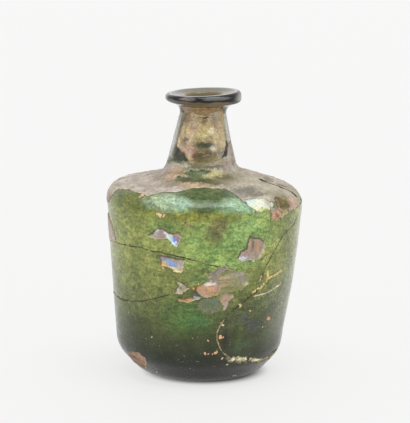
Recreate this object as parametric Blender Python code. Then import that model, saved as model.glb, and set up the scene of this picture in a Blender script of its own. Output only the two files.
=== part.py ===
"""A small hand-blown glass bottle: one hollow piece of glass.

A squat body widens upwards to a rounded shoulder, a tapering neck rises from it, and a flat
everted rim is turned out at the mouth. The wall is thin at the side and thick at the base, where
the glass is pushed in to leave a standing ring. The blower's work isn't quite true: the body leans
over its base, and the rim leans the other way.

The wall is drawn once as a half section, in radius and height, and swept round the axis. Metres,
+Z up, origin at the middle of the base, on the surface that the bottle stands on.
"""

import math

import bmesh
import bpy

MM = 0.001

# Outside of the half section, from the base up
BASE_RADIUS = 23.85 * MM  # where the underside would meet the heel if the corner were sharp
HEEL_RADIUS = 34.15 * MM
HEEL_HEIGHT = 11.1 * MM
SHOULDER_RADIUS = 41.05 * MM
SHOULDER_HEIGHT = 77.6 * MM
NECK_FOOT_RADIUS = 14.95 * MM
SHOULDER_RISE = 7.45 * MM  # from the shoulder corner up to the foot of the neck
NECK_TOP_RADIUS = 8.95 * MM
NECK_LENGTH = 26.8 * MM
RIM_RADIUS = 15.75 * MM
RIM_FLARE = 2.4 * MM  # from the top of the neck up to the underside of the rim's edge
RIM_EDGE = 3.5 * MM  # thickness of the rim at its edge

# Roundings of those corners
BASE_ROUNDING = 12.7 * MM
HEEL_ROUNDING = 12.7 * MM
SHOULDER_ROUNDING = 7.9 * MM
NECK_FOOT_ROUNDING = 6.3 * MM
NECK_TOP_ROUNDING = 3.7 * MM
RIM_ROUNDING = 1.6 * MM

# Thickness of the glass
BASE_WALL = 4.2 * MM
HEEL_WALL = 3.4 * MM
SIDE_WALL = 1.9 * MM
SHOULDER_WALL = 2.0 * MM
NECK_WALL = 2.3 * MM

# Hollow pushed up under the base
KICK_RADIUS = 12.5 * MM
KICK_DEPTH = 2.6 * MM

# Mouth: a flat lip round the rim, then a shallow dish down to the bore
LIP_WIDTH = 3.2 * MM  # from the rim's edge to the start of the dish
DISH_DEPTH = 1.1 * MM
MOUTH_FLARE = 0.95 * MM  # how much wider than the bore the dish starts
MOUTH_ROUNDING = 1.4 * MM

# How far the hand-blown form wanders from its axis: sideways shift along +X, and the tilt of the
# cross-section about Y, positive where the +X side stands higher
HEEL_LEAN = -0.75 * MM
WAIST_LEAN = 0.8 * MM  # halfway up the body
SHOULDER_LEAN = 1.55 * MM
NECK_FOOT_LEAN = 0.1 * MM
NECK_TOP_LEAN = 1.05 * MM
RIM_LEAN = 1.1 * MM
HEEL_TILT = -1.25
SHOULDER_TILT = -2.15
NECK_FOOT_TILT = 1.3
RIM_UNDERSIDE_TILT = -1.2
RIM_TILT = 2.1
BODY_SWELL = 0.45 * MM  # how far the side wall stands out of a straight cone, halfway up

# Facets of the solid
SEGMENTS = 60
KICK_STEPS = 5
ARC_STEP = math.radians(20)
WALL_STEP = 14.0 * MM
MERGE_DISTANCE = 0.01 * MM

NECK_FOOT_HEIGHT = SHOULDER_HEIGHT + SHOULDER_RISE
NECK_TOP_HEIGHT = NECK_FOOT_HEIGHT + NECK_LENGTH
RIM_UNDERSIDE = NECK_TOP_HEIGHT + RIM_FLARE
BOTTLE_HEIGHT = RIM_UNDERSIDE + RIM_EDGE


def unit(dx, dz):
    """The direction of a step in the half section, at length 1."""
    length = math.hypot(dx, dz)
    return dx / length, dz / length


def rounded(corners):
    """A half section through corners (radius, height, rounding), with each corner cut to an arc."""
    path = [corners[0][:2]]
    for before, corner, after in zip(corners, corners[1:], corners[2:]):
        x, z, rounding = corner
        back = unit(before[0] - x, before[1] - z)
        ahead = unit(after[0] - x, after[1] - z)
        cosine = back[0] * ahead[0] + back[1] * ahead[1]
        half = math.acos(max(-1.0, min(1.0, cosine))) / 2
        room = 0.48 * min(math.dist(before[:2], corner[:2]), math.dist(after[:2], corner[:2]))
        trim = min(rounding / math.tan(half), room)
        radius = trim * math.tan(half)
        if radius <= 0:
            path.append((x, z))
            continue
        middle = unit(back[0] + ahead[0], back[1] + ahead[1])
        reach = radius / math.sin(half)
        centre = (x + middle[0] * reach, z + middle[1] * reach)
        start = (x + back[0] * trim - centre[0], z + back[1] * trim - centre[1])
        turn = math.pi - 2 * half
        if back[0] * ahead[1] - back[1] * ahead[0] > 0:
            turn = -turn
        steps = max(2, math.ceil(abs(turn) / ARC_STEP))
        for k in range(steps + 1):
            c, s = math.cos(turn * k / steps), math.sin(turn * k / steps)
            path.append((centre[0] + start[0] * c - start[1] * s, centre[1] + start[0] * s + start[1] * c))
    path.append(corners[-1][:2])
    return path


def stepped(path):
    """The same half section with its long straight runs divided, so that they can lean smoothly."""
    out = [path[0]]
    for (x0, z0), (x1, z1) in zip(path, path[1:]):
        pieces = max(1, math.ceil(math.hypot(x1 - x0, z1 - z0) / WALL_STEP))
        out += [(x0 + (x1 - x0) * k / pieces, z0 + (z1 - z0) * k / pieces) for k in range(1, pieces + 1)]
    return out


def crossing(a, b):
    """Where two lines meet, each given as a point and a direction."""
    (ax, az), (au, av) = a
    (bx, bz), (bu, bv) = b
    along = ((bx - ax) * bv - (bz - az) * bu) / (au * bv - av * bu)
    return ax + au * along, az + av * along


def inside_corners(corners, walls):
    """Corners of the cavity: every straight run of the outside moved in by its own wall."""
    lines = []
    for (x0, z0, _), (x1, z1, _), wall in zip(corners, corners[1:], walls):
        u, v = unit(x1 - x0, z1 - z0)
        lines.append(((x0 - v * wall, z0 + u * wall), (u, v)))
    return [crossing(a, b) for a, b in zip(lines, lines[1:])]


def kick(radius):
    """Height of the hollow under the base at a radius from its middle."""
    if radius >= KICK_RADIUS:
        return 0.0
    return KICK_DEPTH * (1 + math.cos(math.pi * radius / KICK_RADIUS)) / 2


def with_kick(path, floor):
    """A half section that starts at the axis on a flat floor, with that floor pushed up by the kick."""
    inward = [KICK_RADIUS * k / KICK_STEPS for k in range(KICK_STEPS)]
    rise = [(radius, floor + kick(radius)) for radius in inward]
    beyond = next(k for k, (radius, _) in enumerate(path) if radius > KICK_RADIUS)
    return rise + [(KICK_RADIUS, floor)] + path[beyond:]


def outside_path():
    """Underside, body, neck and rim, out to the top of the lip."""
    corners = [
        (0, 0, 0),
        (BASE_RADIUS, 0, BASE_ROUNDING),
        (HEEL_RADIUS, HEEL_HEIGHT, HEEL_ROUNDING),
        (SHOULDER_RADIUS, SHOULDER_HEIGHT, SHOULDER_ROUNDING),
        (NECK_FOOT_RADIUS, NECK_FOOT_HEIGHT, NECK_FOOT_ROUNDING),
        (NECK_TOP_RADIUS, NECK_TOP_HEIGHT, NECK_TOP_ROUNDING),
        (RIM_RADIUS, RIM_UNDERSIDE, RIM_ROUNDING),
        (RIM_RADIUS, BOTTLE_HEIGHT, RIM_ROUNDING),
        (RIM_RADIUS - LIP_WIDTH, BOTTLE_HEIGHT, 0),
    ]
    return with_kick(stepped(rounded(corners)), 0.0), corners[:6]


def inside_path(corners):
    """Cavity from the middle of its floor up the wall, the neck's bore and the dished mouth."""
    walls = (BASE_WALL, HEEL_WALL, SIDE_WALL, SHOULDER_WALL, NECK_WALL)
    floor_edge, heel, shoulder, neck_foot = inside_corners(corners, walls)
    bore_radius = NECK_TOP_RADIUS - NECK_WALL
    cavity = [
        (0, BASE_WALL, 0),
        (*floor_edge, BASE_ROUNDING - BASE_WALL),
        (*heel, HEEL_ROUNDING - HEEL_WALL),
        (*shoulder, SHOULDER_ROUNDING - SHOULDER_WALL),
        (*neck_foot, NECK_FOOT_ROUNDING + SHOULDER_WALL),
        (bore_radius, NECK_TOP_HEIGHT, NECK_TOP_ROUNDING),
        (bore_radius + MOUTH_FLARE, BOTTLE_HEIGHT - DISH_DEPTH, MOUTH_ROUNDING),
        (RIM_RADIUS - LIP_WIDTH, BOTTLE_HEIGHT, 0),
    ]
    return with_kick(stepped(rounded(cavity)), BASE_WALL)


def eased(height, stations):
    """A smooth curve through (height, value) stations, level at the lowest one."""
    height = max(stations[0][0], min(stations[-1][0], height))
    slopes = [0.0]
    for (h0, v0), (h1, v1) in zip(stations, stations[2:]):
        slopes.append((v1 - v0) / (h1 - h0))
    slopes.append((stations[-1][1] - stations[-2][1]) / (stations[-1][0] - stations[-2][0]))
    for k, ((h0, v0), (h1, v1)) in enumerate(zip(stations, stations[1:])):
        if height <= h1:
            span = h1 - h0
            t = (height - h0) / span
            return (
                (2 * t**3 - 3 * t**2 + 1) * v0
                + (t**3 - 2 * t**2 + t) * span * slopes[k]
                + (3 * t**2 - 2 * t**3) * v1
                + (t**3 - t**2) * span * slopes[k + 1]
            )
    return stations[-1][1]


def lean_at(height):
    """Sideways shift of the cross-section at a height."""
    return eased(
        height,
        [
            (0, 0),
            (HEEL_HEIGHT, HEEL_LEAN),
            ((HEEL_HEIGHT + SHOULDER_HEIGHT) / 2, WAIST_LEAN),
            (SHOULDER_HEIGHT, SHOULDER_LEAN),
            (NECK_FOOT_HEIGHT, NECK_FOOT_LEAN),
            (NECK_TOP_HEIGHT, NECK_TOP_LEAN),
            (BOTTLE_HEIGHT, RIM_LEAN),
        ],
    )


def tilt_at(height):
    """Slope of the cross-section at a height, as rise over run along +X."""
    degrees = eased(
        height,
        [
            (0, 0),
            (HEEL_HEIGHT, HEEL_TILT),
            (SHOULDER_HEIGHT, SHOULDER_TILT),
            (NECK_FOOT_HEIGHT, NECK_FOOT_TILT),
            (NECK_TOP_HEIGHT, RIM_UNDERSIDE_TILT),
            (RIM_UNDERSIDE, RIM_UNDERSIDE_TILT),
            (BOTTLE_HEIGHT, RIM_TILT),
        ],
    )
    return math.tan(math.radians(degrees))


def swell_at(height):
    """How far the wall stands out of a straight cone at a height."""
    share = (height - HEEL_HEIGHT) / (SHOULDER_HEIGHT - HEEL_HEIGHT)
    return BODY_SWELL * math.sin(math.pi * max(0.0, min(1.0, share))) ** 2


def wander(point):
    """Where a point of the true turned form lies on the hand-blown bottle."""
    radius = math.hypot(point.x, point.y)
    grown = 1 + swell_at(point.z) / radius if radius > 0 else 1
    x, y = point.x * grown, point.y * grown
    return x + lean_at(point.z), y, point.z + tilt_at(point.z) * x


def glass_material():
    """Weathered olive-green glass."""
    material = bpy.data.materials.new("green_glass")
    material.use_nodes = True
    shader = material.node_tree.nodes["Principled BSDF"]
    shader.inputs["Base Color"].default_value = (0.19, 0.24, 0.08, 1)
    shader.inputs["Roughness"].default_value = 0.25
    shader.inputs["Metallic"].default_value = 0.0
    shader.inputs["IOR"].default_value = 1.5
    return material


def build_bottle():
    """The whole bottle as one closed solid: the outside up to the lip, then down inside."""
    outside, corners = outside_path()
    section = outside + list(reversed(inside_path(corners)))[1:]
    bm = bmesh.new()
    points = [bm.verts.new((radius, 0, height)) for radius, height in section]
    runs = [bm.edges.new(pair) for pair in zip(points, points[1:])]
    bmesh.ops.spin(
        bm,
        geom=points + runs,
        cent=(0, 0, 0),
        axis=(0, 0, 1),
        angle=2 * math.pi,
        steps=SEGMENTS,
        use_merge=True,
    )
    bmesh.ops.remove_doubles(bm, verts=bm.verts, dist=MERGE_DISTANCE)
    bmesh.ops.recalc_face_normals(bm, faces=bm.faces)
    for vertex in bm.verts:
        vertex.co = wander(vertex.co)
    across = [v.co.x for v in bm.verts]
    bmesh.ops.translate(bm, verts=bm.verts, vec=(-(min(across) + max(across)) / 2, 0, 0))
    mesh = bpy.data.meshes.new("glass_bottle")
    bm.to_mesh(mesh)
    bm.free()
    mesh.shade_smooth()
    mesh.set_sharp_from_angle(angle=math.radians(40))
    mesh.materials.append(glass_material())
    bottle = bpy.data.objects.new("glass_bottle", mesh)
    bpy.context.scene.collection.objects.link(bottle)
    return bottle


for old in list(bpy.data.objects):
    bpy.data.objects.remove(old)
build_bottle()
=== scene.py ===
# Looks of the weathered glass bottle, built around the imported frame
import math
from bisect import bisect_right

import bmesh
import bpy
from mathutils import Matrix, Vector, noise
from mathutils.bvhtree import BVHTree


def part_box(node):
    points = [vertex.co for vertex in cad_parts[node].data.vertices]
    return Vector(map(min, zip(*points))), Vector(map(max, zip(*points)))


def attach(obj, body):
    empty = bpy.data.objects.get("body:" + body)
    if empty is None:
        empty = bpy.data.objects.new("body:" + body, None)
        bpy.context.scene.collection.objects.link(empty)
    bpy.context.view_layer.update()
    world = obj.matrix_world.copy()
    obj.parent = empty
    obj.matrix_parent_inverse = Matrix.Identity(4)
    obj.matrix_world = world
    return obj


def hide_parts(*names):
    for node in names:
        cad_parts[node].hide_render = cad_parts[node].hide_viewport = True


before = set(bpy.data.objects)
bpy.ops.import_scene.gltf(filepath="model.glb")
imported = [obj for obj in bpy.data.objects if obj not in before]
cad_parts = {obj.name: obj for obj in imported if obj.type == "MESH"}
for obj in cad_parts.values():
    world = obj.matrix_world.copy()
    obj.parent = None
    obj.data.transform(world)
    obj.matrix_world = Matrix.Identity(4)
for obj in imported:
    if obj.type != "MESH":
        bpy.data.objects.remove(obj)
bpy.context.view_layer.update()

mm = 0.001


# Small helpers for numbers, colours, pieces and nodes

def clamped(value, low=0.0, high=1.0):
    return max(low, min(high, value))


def softly(value, low, high):
    t = clamped((value - low) / (high - low))
    return t * t * (3 - 2 * t)


def stray(point, perMillimetre, amount=1.0, octaves=3, roughness=0.8, finer=2.1):  # uneven by place
    return noise.fractal(point * perMillimetre, roughness, finer, octaves) * amount


def paint(red, green, blue):  # a colour given on a 0 to 255 scale, as the shader wants it
    parts = (value / 255 for value in (red, green, blue))
    return (*(v / 12.92 if v <= 0.04045 else ((v + 0.055) / 1.055) ** 2.4 for v in parts), 1)


def newObject(name, data):
    made = bpy.data.objects.new(name, data)
    bpy.context.scene.collection.objects.link(made)
    return made


def settle(piece):  # every piece rides on the one body
    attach(piece, "root")
    return piece


def feed(tree, node, inputs):  # a socket is linked, and anything else is set on the node's own socket
    for key, value in inputs.items():
        if isinstance(value, bpy.types.NodeSocket):
            tree.links.new(value, node.inputs[key])
        else:
            node.inputs[key].default_value = value
    return node


def addNode(tree, kind, inputs=None, **settings):
    made = tree.nodes.new(kind)
    for key, value in settings.items():
        setattr(made, key, value)
    return feed(tree, made, inputs or {})


def first(tree, kind, inputs=None, **settings):  # the first output of a new node
    return addNode(tree, kind, inputs, **settings).outputs[0]


def calc(tree, operation, one, two=0.0, three=0.0, clamp=False):
    return first(tree, "ShaderNodeMath", {0: one, 1: two, 2: three}, operation=operation, use_clamp=clamp)


def times(tree, one, two):
    return calc(tree, "MULTIPLY", one, two)


def vectorCalc(tree, operation, one, two=(0, 0, 0)):
    made = addNode(tree, "ShaderNodeVectorMath", {0: one, 1: two}, operation=operation)
    return made.outputs["Value" if operation == "LENGTH" else "Vector"]


def scaled(tree, vector, factor):
    return first(tree, "ShaderNodeVectorMath", {0: vector, "Scale": factor}, operation="SCALE")


def fromAxis(tree, vector):  # distance from the upright axis
    return vectorCalc(tree, "LENGTH", vectorCalc(tree, "MULTIPLY", vector, (1, 1, 0)))


def span(tree, value, low, high, outLow=0.0, outHigh=1.0, smooth=True):  # low..high becomes outLow..outHigh
    inputs = {"Value": value, "From Min": low, "From Max": high, "To Min": outLow, "To Max": outHigh}
    kind = "SMOOTHSTEP" if smooth else "LINEAR"
    return addNode(tree, "ShaderNodeMapRange", inputs, interpolation_type=kind).outputs["Result"]


def blend(tree, share, under, over, mode="MIX"):
    settings = {"data_type": "RGBA", "blend_type": mode, "clamp_factor": True}
    made = addNode(tree, "ShaderNodeMix", {0: share, 6: under, 7: over}, **settings)  # its colours
    return made.outputs[2]


def greyOf(tree, value):
    return first(tree, "ShaderNodeCombineColor", {0: value, 1: value, 2: value})


def toned(tree, colour, tone):  # a colour made darker or lighter by a number
    return blend(tree, 1.0, colour, greyOf(tree, tone), "MULTIPLY")


def grain(tree, vector, scale, detail=3.0, roughness=0.55, stretch=None, output="Fac"):
    if stretch:
        vector = vectorCalc(tree, "MULTIPLY", vector, stretch)
    inputs = {"Vector": vector, "Scale": scale, "Detail": detail, "Roughness": roughness}
    return addNode(tree, "ShaderNodeTexNoise", inputs).outputs[output]


def ramp(tree, value, stops):  # colour stops (position 0 to 1, colour)
    made = addNode(tree, "ShaderNodeValToRGB", {"Fac": value})
    made.color_ramp.interpolation = "B_SPLINE"
    elements = made.color_ramp.elements
    while len(elements) < len(stops):
        elements.new(1.0)
    for element, (place, colour) in zip(elements, stops):
        element.position = place
        element.color = paint(*colour)
    return made.outputs["Color"]


def roughen(tree, strength, distance, height):
    return first(tree, "ShaderNodeBump", {"Strength": strength, "Distance": distance, "Height": height})


def newMaterial(name):
    material = bpy.data.materials.new(name)
    material.use_nodes = True
    return material, material.node_tree, material.node_tree.nodes["Principled BSDF"]


def newGroup(name, kind, inputs, outputs):  # a value gives a socket's kind and start, a word its kind alone
    tree = bpy.data.node_groups.new(name, kind)
    kinds = {float: "Float", int: "Int", tuple: "Vector"}
    for way, sockets in (("INPUT", inputs), ("OUTPUT", outputs)):
        for label, value in sockets.items():
            word = value if isinstance(value, str) else kinds[type(value)]
            socket = tree.interface.new_socket(label, in_out=way, socket_type="NodeSocket" + word)
            if value is not word:
                socket.default_value = value
    return tree, tree.nodes.new("NodeGroupInput").outputs, tree.nodes.new("NodeGroupOutput").inputs


def named(tree, kind, name):
    return first(tree, "GeometryNodeInputNamedAttribute", {"Name": name}, data_type=kind)


def closeTree(tree, result, geometry, stuff):  # instances made real, and the material set
    single = first(tree, "GeometryNodeRealizeInstances", {0: geometry})
    final = first(tree, "GeometryNodeSetMaterial", {"Geometry": single, "Material": stuff})
    tree.links.new(final, result[0])
    return tree


def growWith(tree, source, values, name):  # run a tree on a mesh and keep the result as a plain mesh
    modifier = source.modifiers.new("grow", "NODES")
    modifier.node_group = tree
    for item in tree.interface.items_tree:
        if item.in_out == "INPUT" and item.name in values:
            modifier[item.identifier] = values[item.name]
    graph = bpy.context.evaluated_depsgraph_get()
    graph.update()
    mesh = bpy.data.meshes.new_from_object(source.evaluated_get(graph), depsgraph=graph)
    source.modifiers.remove(modifier)
    old, source.data = source.data, mesh
    mesh.name = source.name = name
    if old.users == 0:
        bpy.data.meshes.remove(old)
    return source


def lineMesh(name, points, values=None):  # points in a row, joined by edges, with values as attributes
    mesh = bpy.data.meshes.new(name)
    mesh.from_pydata(points, [(k, k + 1) for k in range(len(points) - 1)], [])
    for label, numbers in (values or {}).items():
        mesh.attributes.new(label, "FLOAT", "POINT").data.foreach_set("value", numbers)
    return newObject(name, mesh)


# Form of the bottle in millimetres, the same as the solid's

bottleForm = {
    "base": (23.85, 0, 12.7),  # corner radius, height and rounding
    "heel": (34.15, 11.1, 12.7),
    "shoulder": (41.05, 77.6, 7.9),
    "neckFoot": (14.95, 85.05, 6.3),
    "neckTop": (8.95, 111.85, 3.7),
    "rimUnderside": (15.75, 114.25, 1.6),
    "rimTop": (15.75, 117.75, 1.6),
    "walls": (4.2, 3.4, 1.9, 2.0, 2.3),  # base, heel, side, shoulder, neck
    "kickRadius": 12.5,
    "kickDepth": 2.6,
    "kickSteps": 14,
    "lipWidth": 3.2,
    "dishDepth": 1.1,
    "mouthFlare": 0.95,
    "mouthRounding": 1.4,
    "lean": (0, -0.75, 0.8, 1.55, 0.1, 1.05, 1.1),  # from the base and the heel up to the rim
    "tilt": (0, -1.25, -2.15, 1.3, -1.2, -1.2, 2.1),  # degrees, from the base and the heel up to the rim
    "swell": 0.45,
    "segments": 240,
    "outsideStep": 1.1,
    "insideStep": 2.4,
    "outsideArc": 6,  # degrees to a step
    "insideArc": 10,
    "arcShare": 0.48,  # most of a straight run that a rounding takes
    "weld": 0.002,
    "unevenness": 0.16,  # how far the blown surface strays from the turned form
    "unevenSize": 14.0,
    "calmHeight": 4.0,  # the standing ring under this stays flat
    "pontilScar": 0.35,
    "pontilRadius": 6.5,
    "pontilWidth": 2.2,
    "pontilTop": (3.4, 3.8),  # heights over which the mark fades
    "pontilGrain": 0.7,
    "neckGlassFrom": 90.5,
    "rimGlassFrom": 112.8,
}


def unit(dx, dz):
    length = math.hypot(dx, dz)
    return dx / length, dz / length


def rounded(corners, arcStep):  # corners (radius, height, rounding), each cut to an arc
    path = [corners[0][:2]]
    for before, corner, after in zip(corners, corners[1:], corners[2:]):
        x, z, rounding = corner
        back = unit(before[0] - x, before[1] - z)
        ahead = unit(after[0] - x, after[1] - z)
        half = math.acos(clamped(back[0] * ahead[0] + back[1] * ahead[1], -1.0)) / 2
        room = min(math.dist(before[:2], corner[:2]), math.dist(after[:2], corner[:2]))
        trim = min(rounding / math.tan(half), bottleForm["arcShare"] * room)
        middle = unit(back[0] + ahead[0], back[1] + ahead[1])
        reach = trim * math.tan(half) / math.sin(half)
        centre = (x + middle[0] * reach, z + middle[1] * reach)
        start = (x + back[0] * trim - centre[0], z + back[1] * trim - centre[1])
        turn = math.pi - 2 * half
        if back[0] * ahead[1] - back[1] * ahead[0] > 0:
            turn = -turn
        steps = max(2, math.ceil(abs(turn) / arcStep))
        for k in range(steps + 1):
            c, s = math.cos(turn * k / steps), math.sin(turn * k / steps)
            path.append((centre[0] + start[0] * c - start[1] * s, centre[1] + start[0] * s + start[1] * c))
    path.append(corners[-1][:2])
    return path


def stepped(path, step):
    out = [path[0]]
    for (x0, z0), (x1, z1) in zip(path, path[1:]):
        pieces = max(1, math.ceil(math.hypot(x1 - x0, z1 - z0) / step))
        out += [(x0 + (x1 - x0) * k / pieces, z0 + (z1 - z0) * k / pieces) for k in range(1, pieces + 1)]
    return out


def crossing(a, b):
    (ax, az), (au, av) = a
    (bx, bz), (bu, bv) = b
    along = ((bx - ax) * bv - (bz - az) * bu) / (au * bv - av * bu)
    return ax + au * along, az + av * along


def insideCorners(form):  # every straight run of the outside moved in by its own wall
    corners = [(0, 0), form["base"], form["heel"], form["shoulder"], form["neckFoot"], form["neckTop"]]
    lines = []
    for (x0, z0, *_), (x1, z1, *_), wall in zip(corners, corners[1:], form["walls"]):
        u, v = unit(x1 - x0, z1 - z0)
        lines.append(((x0 - v * wall, z0 + u * wall), (u, v)))
    return [crossing(a, b) for a, b in zip(lines, lines[1:])]


def withKick(path, floor, form):  # the floor pushed up in the middle
    reach, steps = form["kickRadius"], form["kickSteps"]
    inward = [reach * k / steps for k in range(steps)]
    rise = [(r, floor + form["kickDepth"] * (1 + math.cos(math.pi * r / reach)) / 2) for r in inward]
    beyond = next(k for k, (r, _) in enumerate(path) if r > reach)
    return rise + [(reach, floor)] + path[beyond:]


def outsidePath(form):
    names = ("base", "heel", "shoulder", "neckFoot", "neckTop", "rimUnderside", "rimTop")
    rimRadius, height, _ = form["rimTop"]
    corners = [(0, 0, 0)] + [form[name] for name in names] + [(rimRadius - form["lipWidth"], height, 0)]
    path = rounded(corners, math.radians(form["outsideArc"]))
    return withKick(stepped(path, form["outsideStep"]), 0.0, form)


def insidePath(form):
    baseWall, heelWall, sideWall, shoulderWall, neckWall = form["walls"]
    floorEdge, heel, shoulder, neckFoot = insideCorners(form)
    bore = form["neckTop"][0] - neckWall
    height = form["rimTop"][1]
    corners = [
        (0, baseWall, 0),
        (*floorEdge, form["base"][2] - baseWall),
        (*heel, form["heel"][2] - heelWall),
        (*shoulder, form["shoulder"][2] - shoulderWall),
        (*neckFoot, form["neckFoot"][2] + shoulderWall),
        (bore, *form["neckTop"][1:]),
        (bore + form["mouthFlare"], height - form["dishDepth"], form["mouthRounding"]),
        (form["rimTop"][0] - form["lipWidth"], height, 0),
    ]
    path = rounded(corners, math.radians(form["insideArc"]))
    return withKick(stepped(path, form["insideStep"]), baseWall, form)


def eased(height, heights, values):  # smooth curve through stations, level at the lowest one
    height = clamped(height, heights[0], heights[-1])
    slopes = [0.0]
    for k in range(1, len(heights)):
        after = min(k + 1, len(heights) - 1)
        slopes.append((values[after] - values[k - 1]) / (heights[after] - heights[k - 1]))
    k = next(k for k in range(len(heights) - 1) if height <= heights[k + 1])
    run = heights[k + 1] - heights[k]
    t = (height - heights[k]) / run
    below = (2 * t**3 - 3 * t**2 + 1) * values[k] + (t**3 - 2 * t**2 + t) * run * slopes[k]
    return below + (3 * t**2 - 2 * t**3) * values[k + 1] + (t**3 - t**2) * run * slopes[k + 1]


def leanAt(height):
    names = ("heel", "shoulder", "neckFoot", "neckTop", "rimTop")
    heel, shoulder, *top = (bottleForm[name][1] for name in names)
    return eased(height, (0, heel, (heel + shoulder) / 2, shoulder, *top), bottleForm["lean"])


def tiltAt(height):
    names = ("heel", "shoulder", "neckFoot", "neckTop", "rimUnderside", "rimTop")
    heights = (0, *(bottleForm[name][1] for name in names))
    return math.tan(math.radians(eased(height, heights, bottleForm["tilt"])))


def swollen(radius, height):
    heel, shoulder = bottleForm["heel"][1], bottleForm["shoulder"][1]
    share = clamped((height - heel) / (shoulder - heel))
    return radius + bottleForm["swell"] * math.sin(math.pi * share) ** 2 * (radius > 0)


outside = outsidePath(bottleForm)
section = outside + list(reversed(insidePath(bottleForm)))[1:]
edges = [leanAt(z) + side * r for r, z in section for side in (-1, 1)]
nodeLow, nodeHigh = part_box("glass_bottle")
sideways = (nodeLow[0] + nodeHigh[0]) / 2 / mm - (min(edges) + max(edges)) / 2  # stands where the solid does


# The bottle itself: Geometry Nodes sweep the half section round and let it stray like blown glass

def bottleTree():
    tree, asked, result = newGroup("blown bottle", "GeometryNodeTree", {
        "Half Section": "Geometry", "Segments": 96, "Weld": 0.000002, "Unevenness": 0.0001,
        "Uneven Size": 0.014, "Calm Height": 0.004, "Pontil Scar": 0.0003, "Pontil Radius": 0.0065,
        "Pontil Width": 0.0022, "Neck Glass From": 0.09, "Rim Glass From": 0.113,
        "Body Glass": "Material", "Neck Glass": "Material", "Rim Glass": "Material",
    }, {"Bottle": "Geometry"})

    def whole(operation, one, two):
        return first(tree, "FunctionNodeIntegerMath", {0: one, 1: two}, operation=operation)

    def along(kind, value, row):
        inputs = {"Geometry": asked["Half Section"], "Value": value, "Index": row}
        return first(tree, "GeometryNodeSampleIndex", inputs, data_type=kind, domain="POINT")

    size = addNode(tree, "GeometryNodeAttributeDomainSize", {0: asked["Half Section"]}, component="MESH")
    rows = size.outputs["Point Count"]
    grid = first(tree, "GeometryNodeMeshGrid", {
        "Size X": 1.0, "Size Y": 1.0, "Vertices X": whole("ADD", asked["Segments"], 1), "Vertices Y": rows})
    index = first(tree, "GeometryNodeInputIndex")
    column, row = whole("DIVIDE_FLOOR", index, rows), whole("MODULO", index, rows)
    turn = calc(tree, "DIVIDE", times(tree, column, 2 * math.pi), asked["Segments"])
    position = first(tree, "GeometryNodeInputPosition")
    point = addNode(tree, "ShaderNodeSeparateXYZ", {0: along("FLOAT_VECTOR", position, row)}).outputs
    lean, tilt = (along("FLOAT", named(tree, "FLOAT", name), row) for name in ("lean", "tilt"))
    x, y = (times(tree, point["X"], calc(tree, part, turn)) for part in ("COSINE", "SINE"))
    place = first(tree, "ShaderNodeCombineXYZ", {
        "X": calc(tree, "ADD", x, lean), "Y": y, "Z": calc(tree, "MULTIPLY_ADD", tilt, x, point["Z"])})
    swept = first(tree, "GeometryNodeSetPosition", {"Geometry": grid, "Position": place})
    merged = first(tree, "GeometryNodeMergeByDistance", {"Geometry": swept, "Distance": asked["Weld"]})

    height = addNode(tree, "ShaderNodeSeparateXYZ", {0: position}).outputs["Z"]
    waves = grain(tree, position, calc(tree, "DIVIDE", 1.0, asked["Uneven Size"]), 2.0, 0.4)
    reach = times(tree, asked["Unevenness"], 2.0)
    uneven = times(tree, calc(tree, "SUBTRACT", waves, 0.5), reach)
    away = calc(tree, "ABSOLUTE", calc(tree, "SUBTRACT", fromAxis(tree, position), asked["Pontil Radius"]))
    ring = span(tree, away, 0.0, asked["Pontil Width"], 1.0, 0.0)
    under = span(tree, height, *(top * mm for top in bottleForm["pontilTop"]), 1.0, 0.0)
    rough = grain(tree, position, bottleForm["pontilGrain"] / mm, 3.0, 0.5)
    torn = times(tree, times(tree, ring, under), times(tree, rough, asked["Pontil Scar"]))
    calm = span(tree, height, 0.0, asked["Calm Height"])
    push = calc(tree, "MULTIPLY_ADD", uneven, calm, times(tree, torn, -1.0))
    offset = scaled(tree, first(tree, "GeometryNodeInputNormal"), push)
    blown = first(tree, "GeometryNodeSetPosition", {"Geometry": merged, "Offset": offset})
    smooth = first(tree, "GeometryNodeSetShadeSmooth", {"Geometry": blown, "Shade Smooth": True})
    glass = first(tree, "GeometryNodeSetMaterial", {"Geometry": smooth, "Material": asked["Body Glass"]})
    for part in ("Neck Glass", "Rim Glass"):
        inputs = {0: height, 1: asked[part + " From"]}
        above = first(tree, "FunctionNodeCompare", inputs, operation="GREATER_THAN")
        inputs = {"Geometry": glass, "Selection": above, "Material": asked[part]}
        glass = first(tree, "GeometryNodeSetMaterial", inputs)
    tree.links.new(first(tree, "GeometryNodeRealizeInstances", {0: glass}), result[0])
    return tree


# Places on the bottle: degrees round from the front towards +X, and millimetres along the half section

runs = [0.0]
for start, end in zip(outside, outside[1:]):
    runs.append(runs[-1] + math.dist(start, end))


def sectionAt(along):
    along = clamped(along, 0.0, runs[-1])
    low = min(bisect_right(runs, along), len(runs) - 1) - 1
    share = (along - runs[low]) / (runs[low + 1] - runs[low])
    (r0, z0), (r1, z1) = outside[low], outside[low + 1]
    return r0 + (r1 - r0) * share, z0 + (z1 - z0) * share


def alongAt(height):  # along the half section up to a height on the wall, shoulder or neck
    for k in range(bottleForm["kickSteps"] + 1, len(outside) - 1):
        if outside[k][1] <= height <= outside[k + 1][1]:
            share = (height - outside[k][1]) / max(1e-9, outside[k + 1][1] - outside[k][1])
            return runs[k] + share * (runs[k + 1] - runs[k])
    return runs[-1]


def turnFrom(middle, around):  # degrees from one direction to another, the short way
    return (around - middle + 180) % 360 - 180


def turnedPoint(around, along):
    r, z = sectionAt(along)
    r = swollen(r, z)
    angle = math.radians(around)
    x, y = r * math.sin(angle), -r * math.cos(angle)
    return Vector((x + leanAt(z) + sideways, y, z + tiltAt(z) * x))


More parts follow.
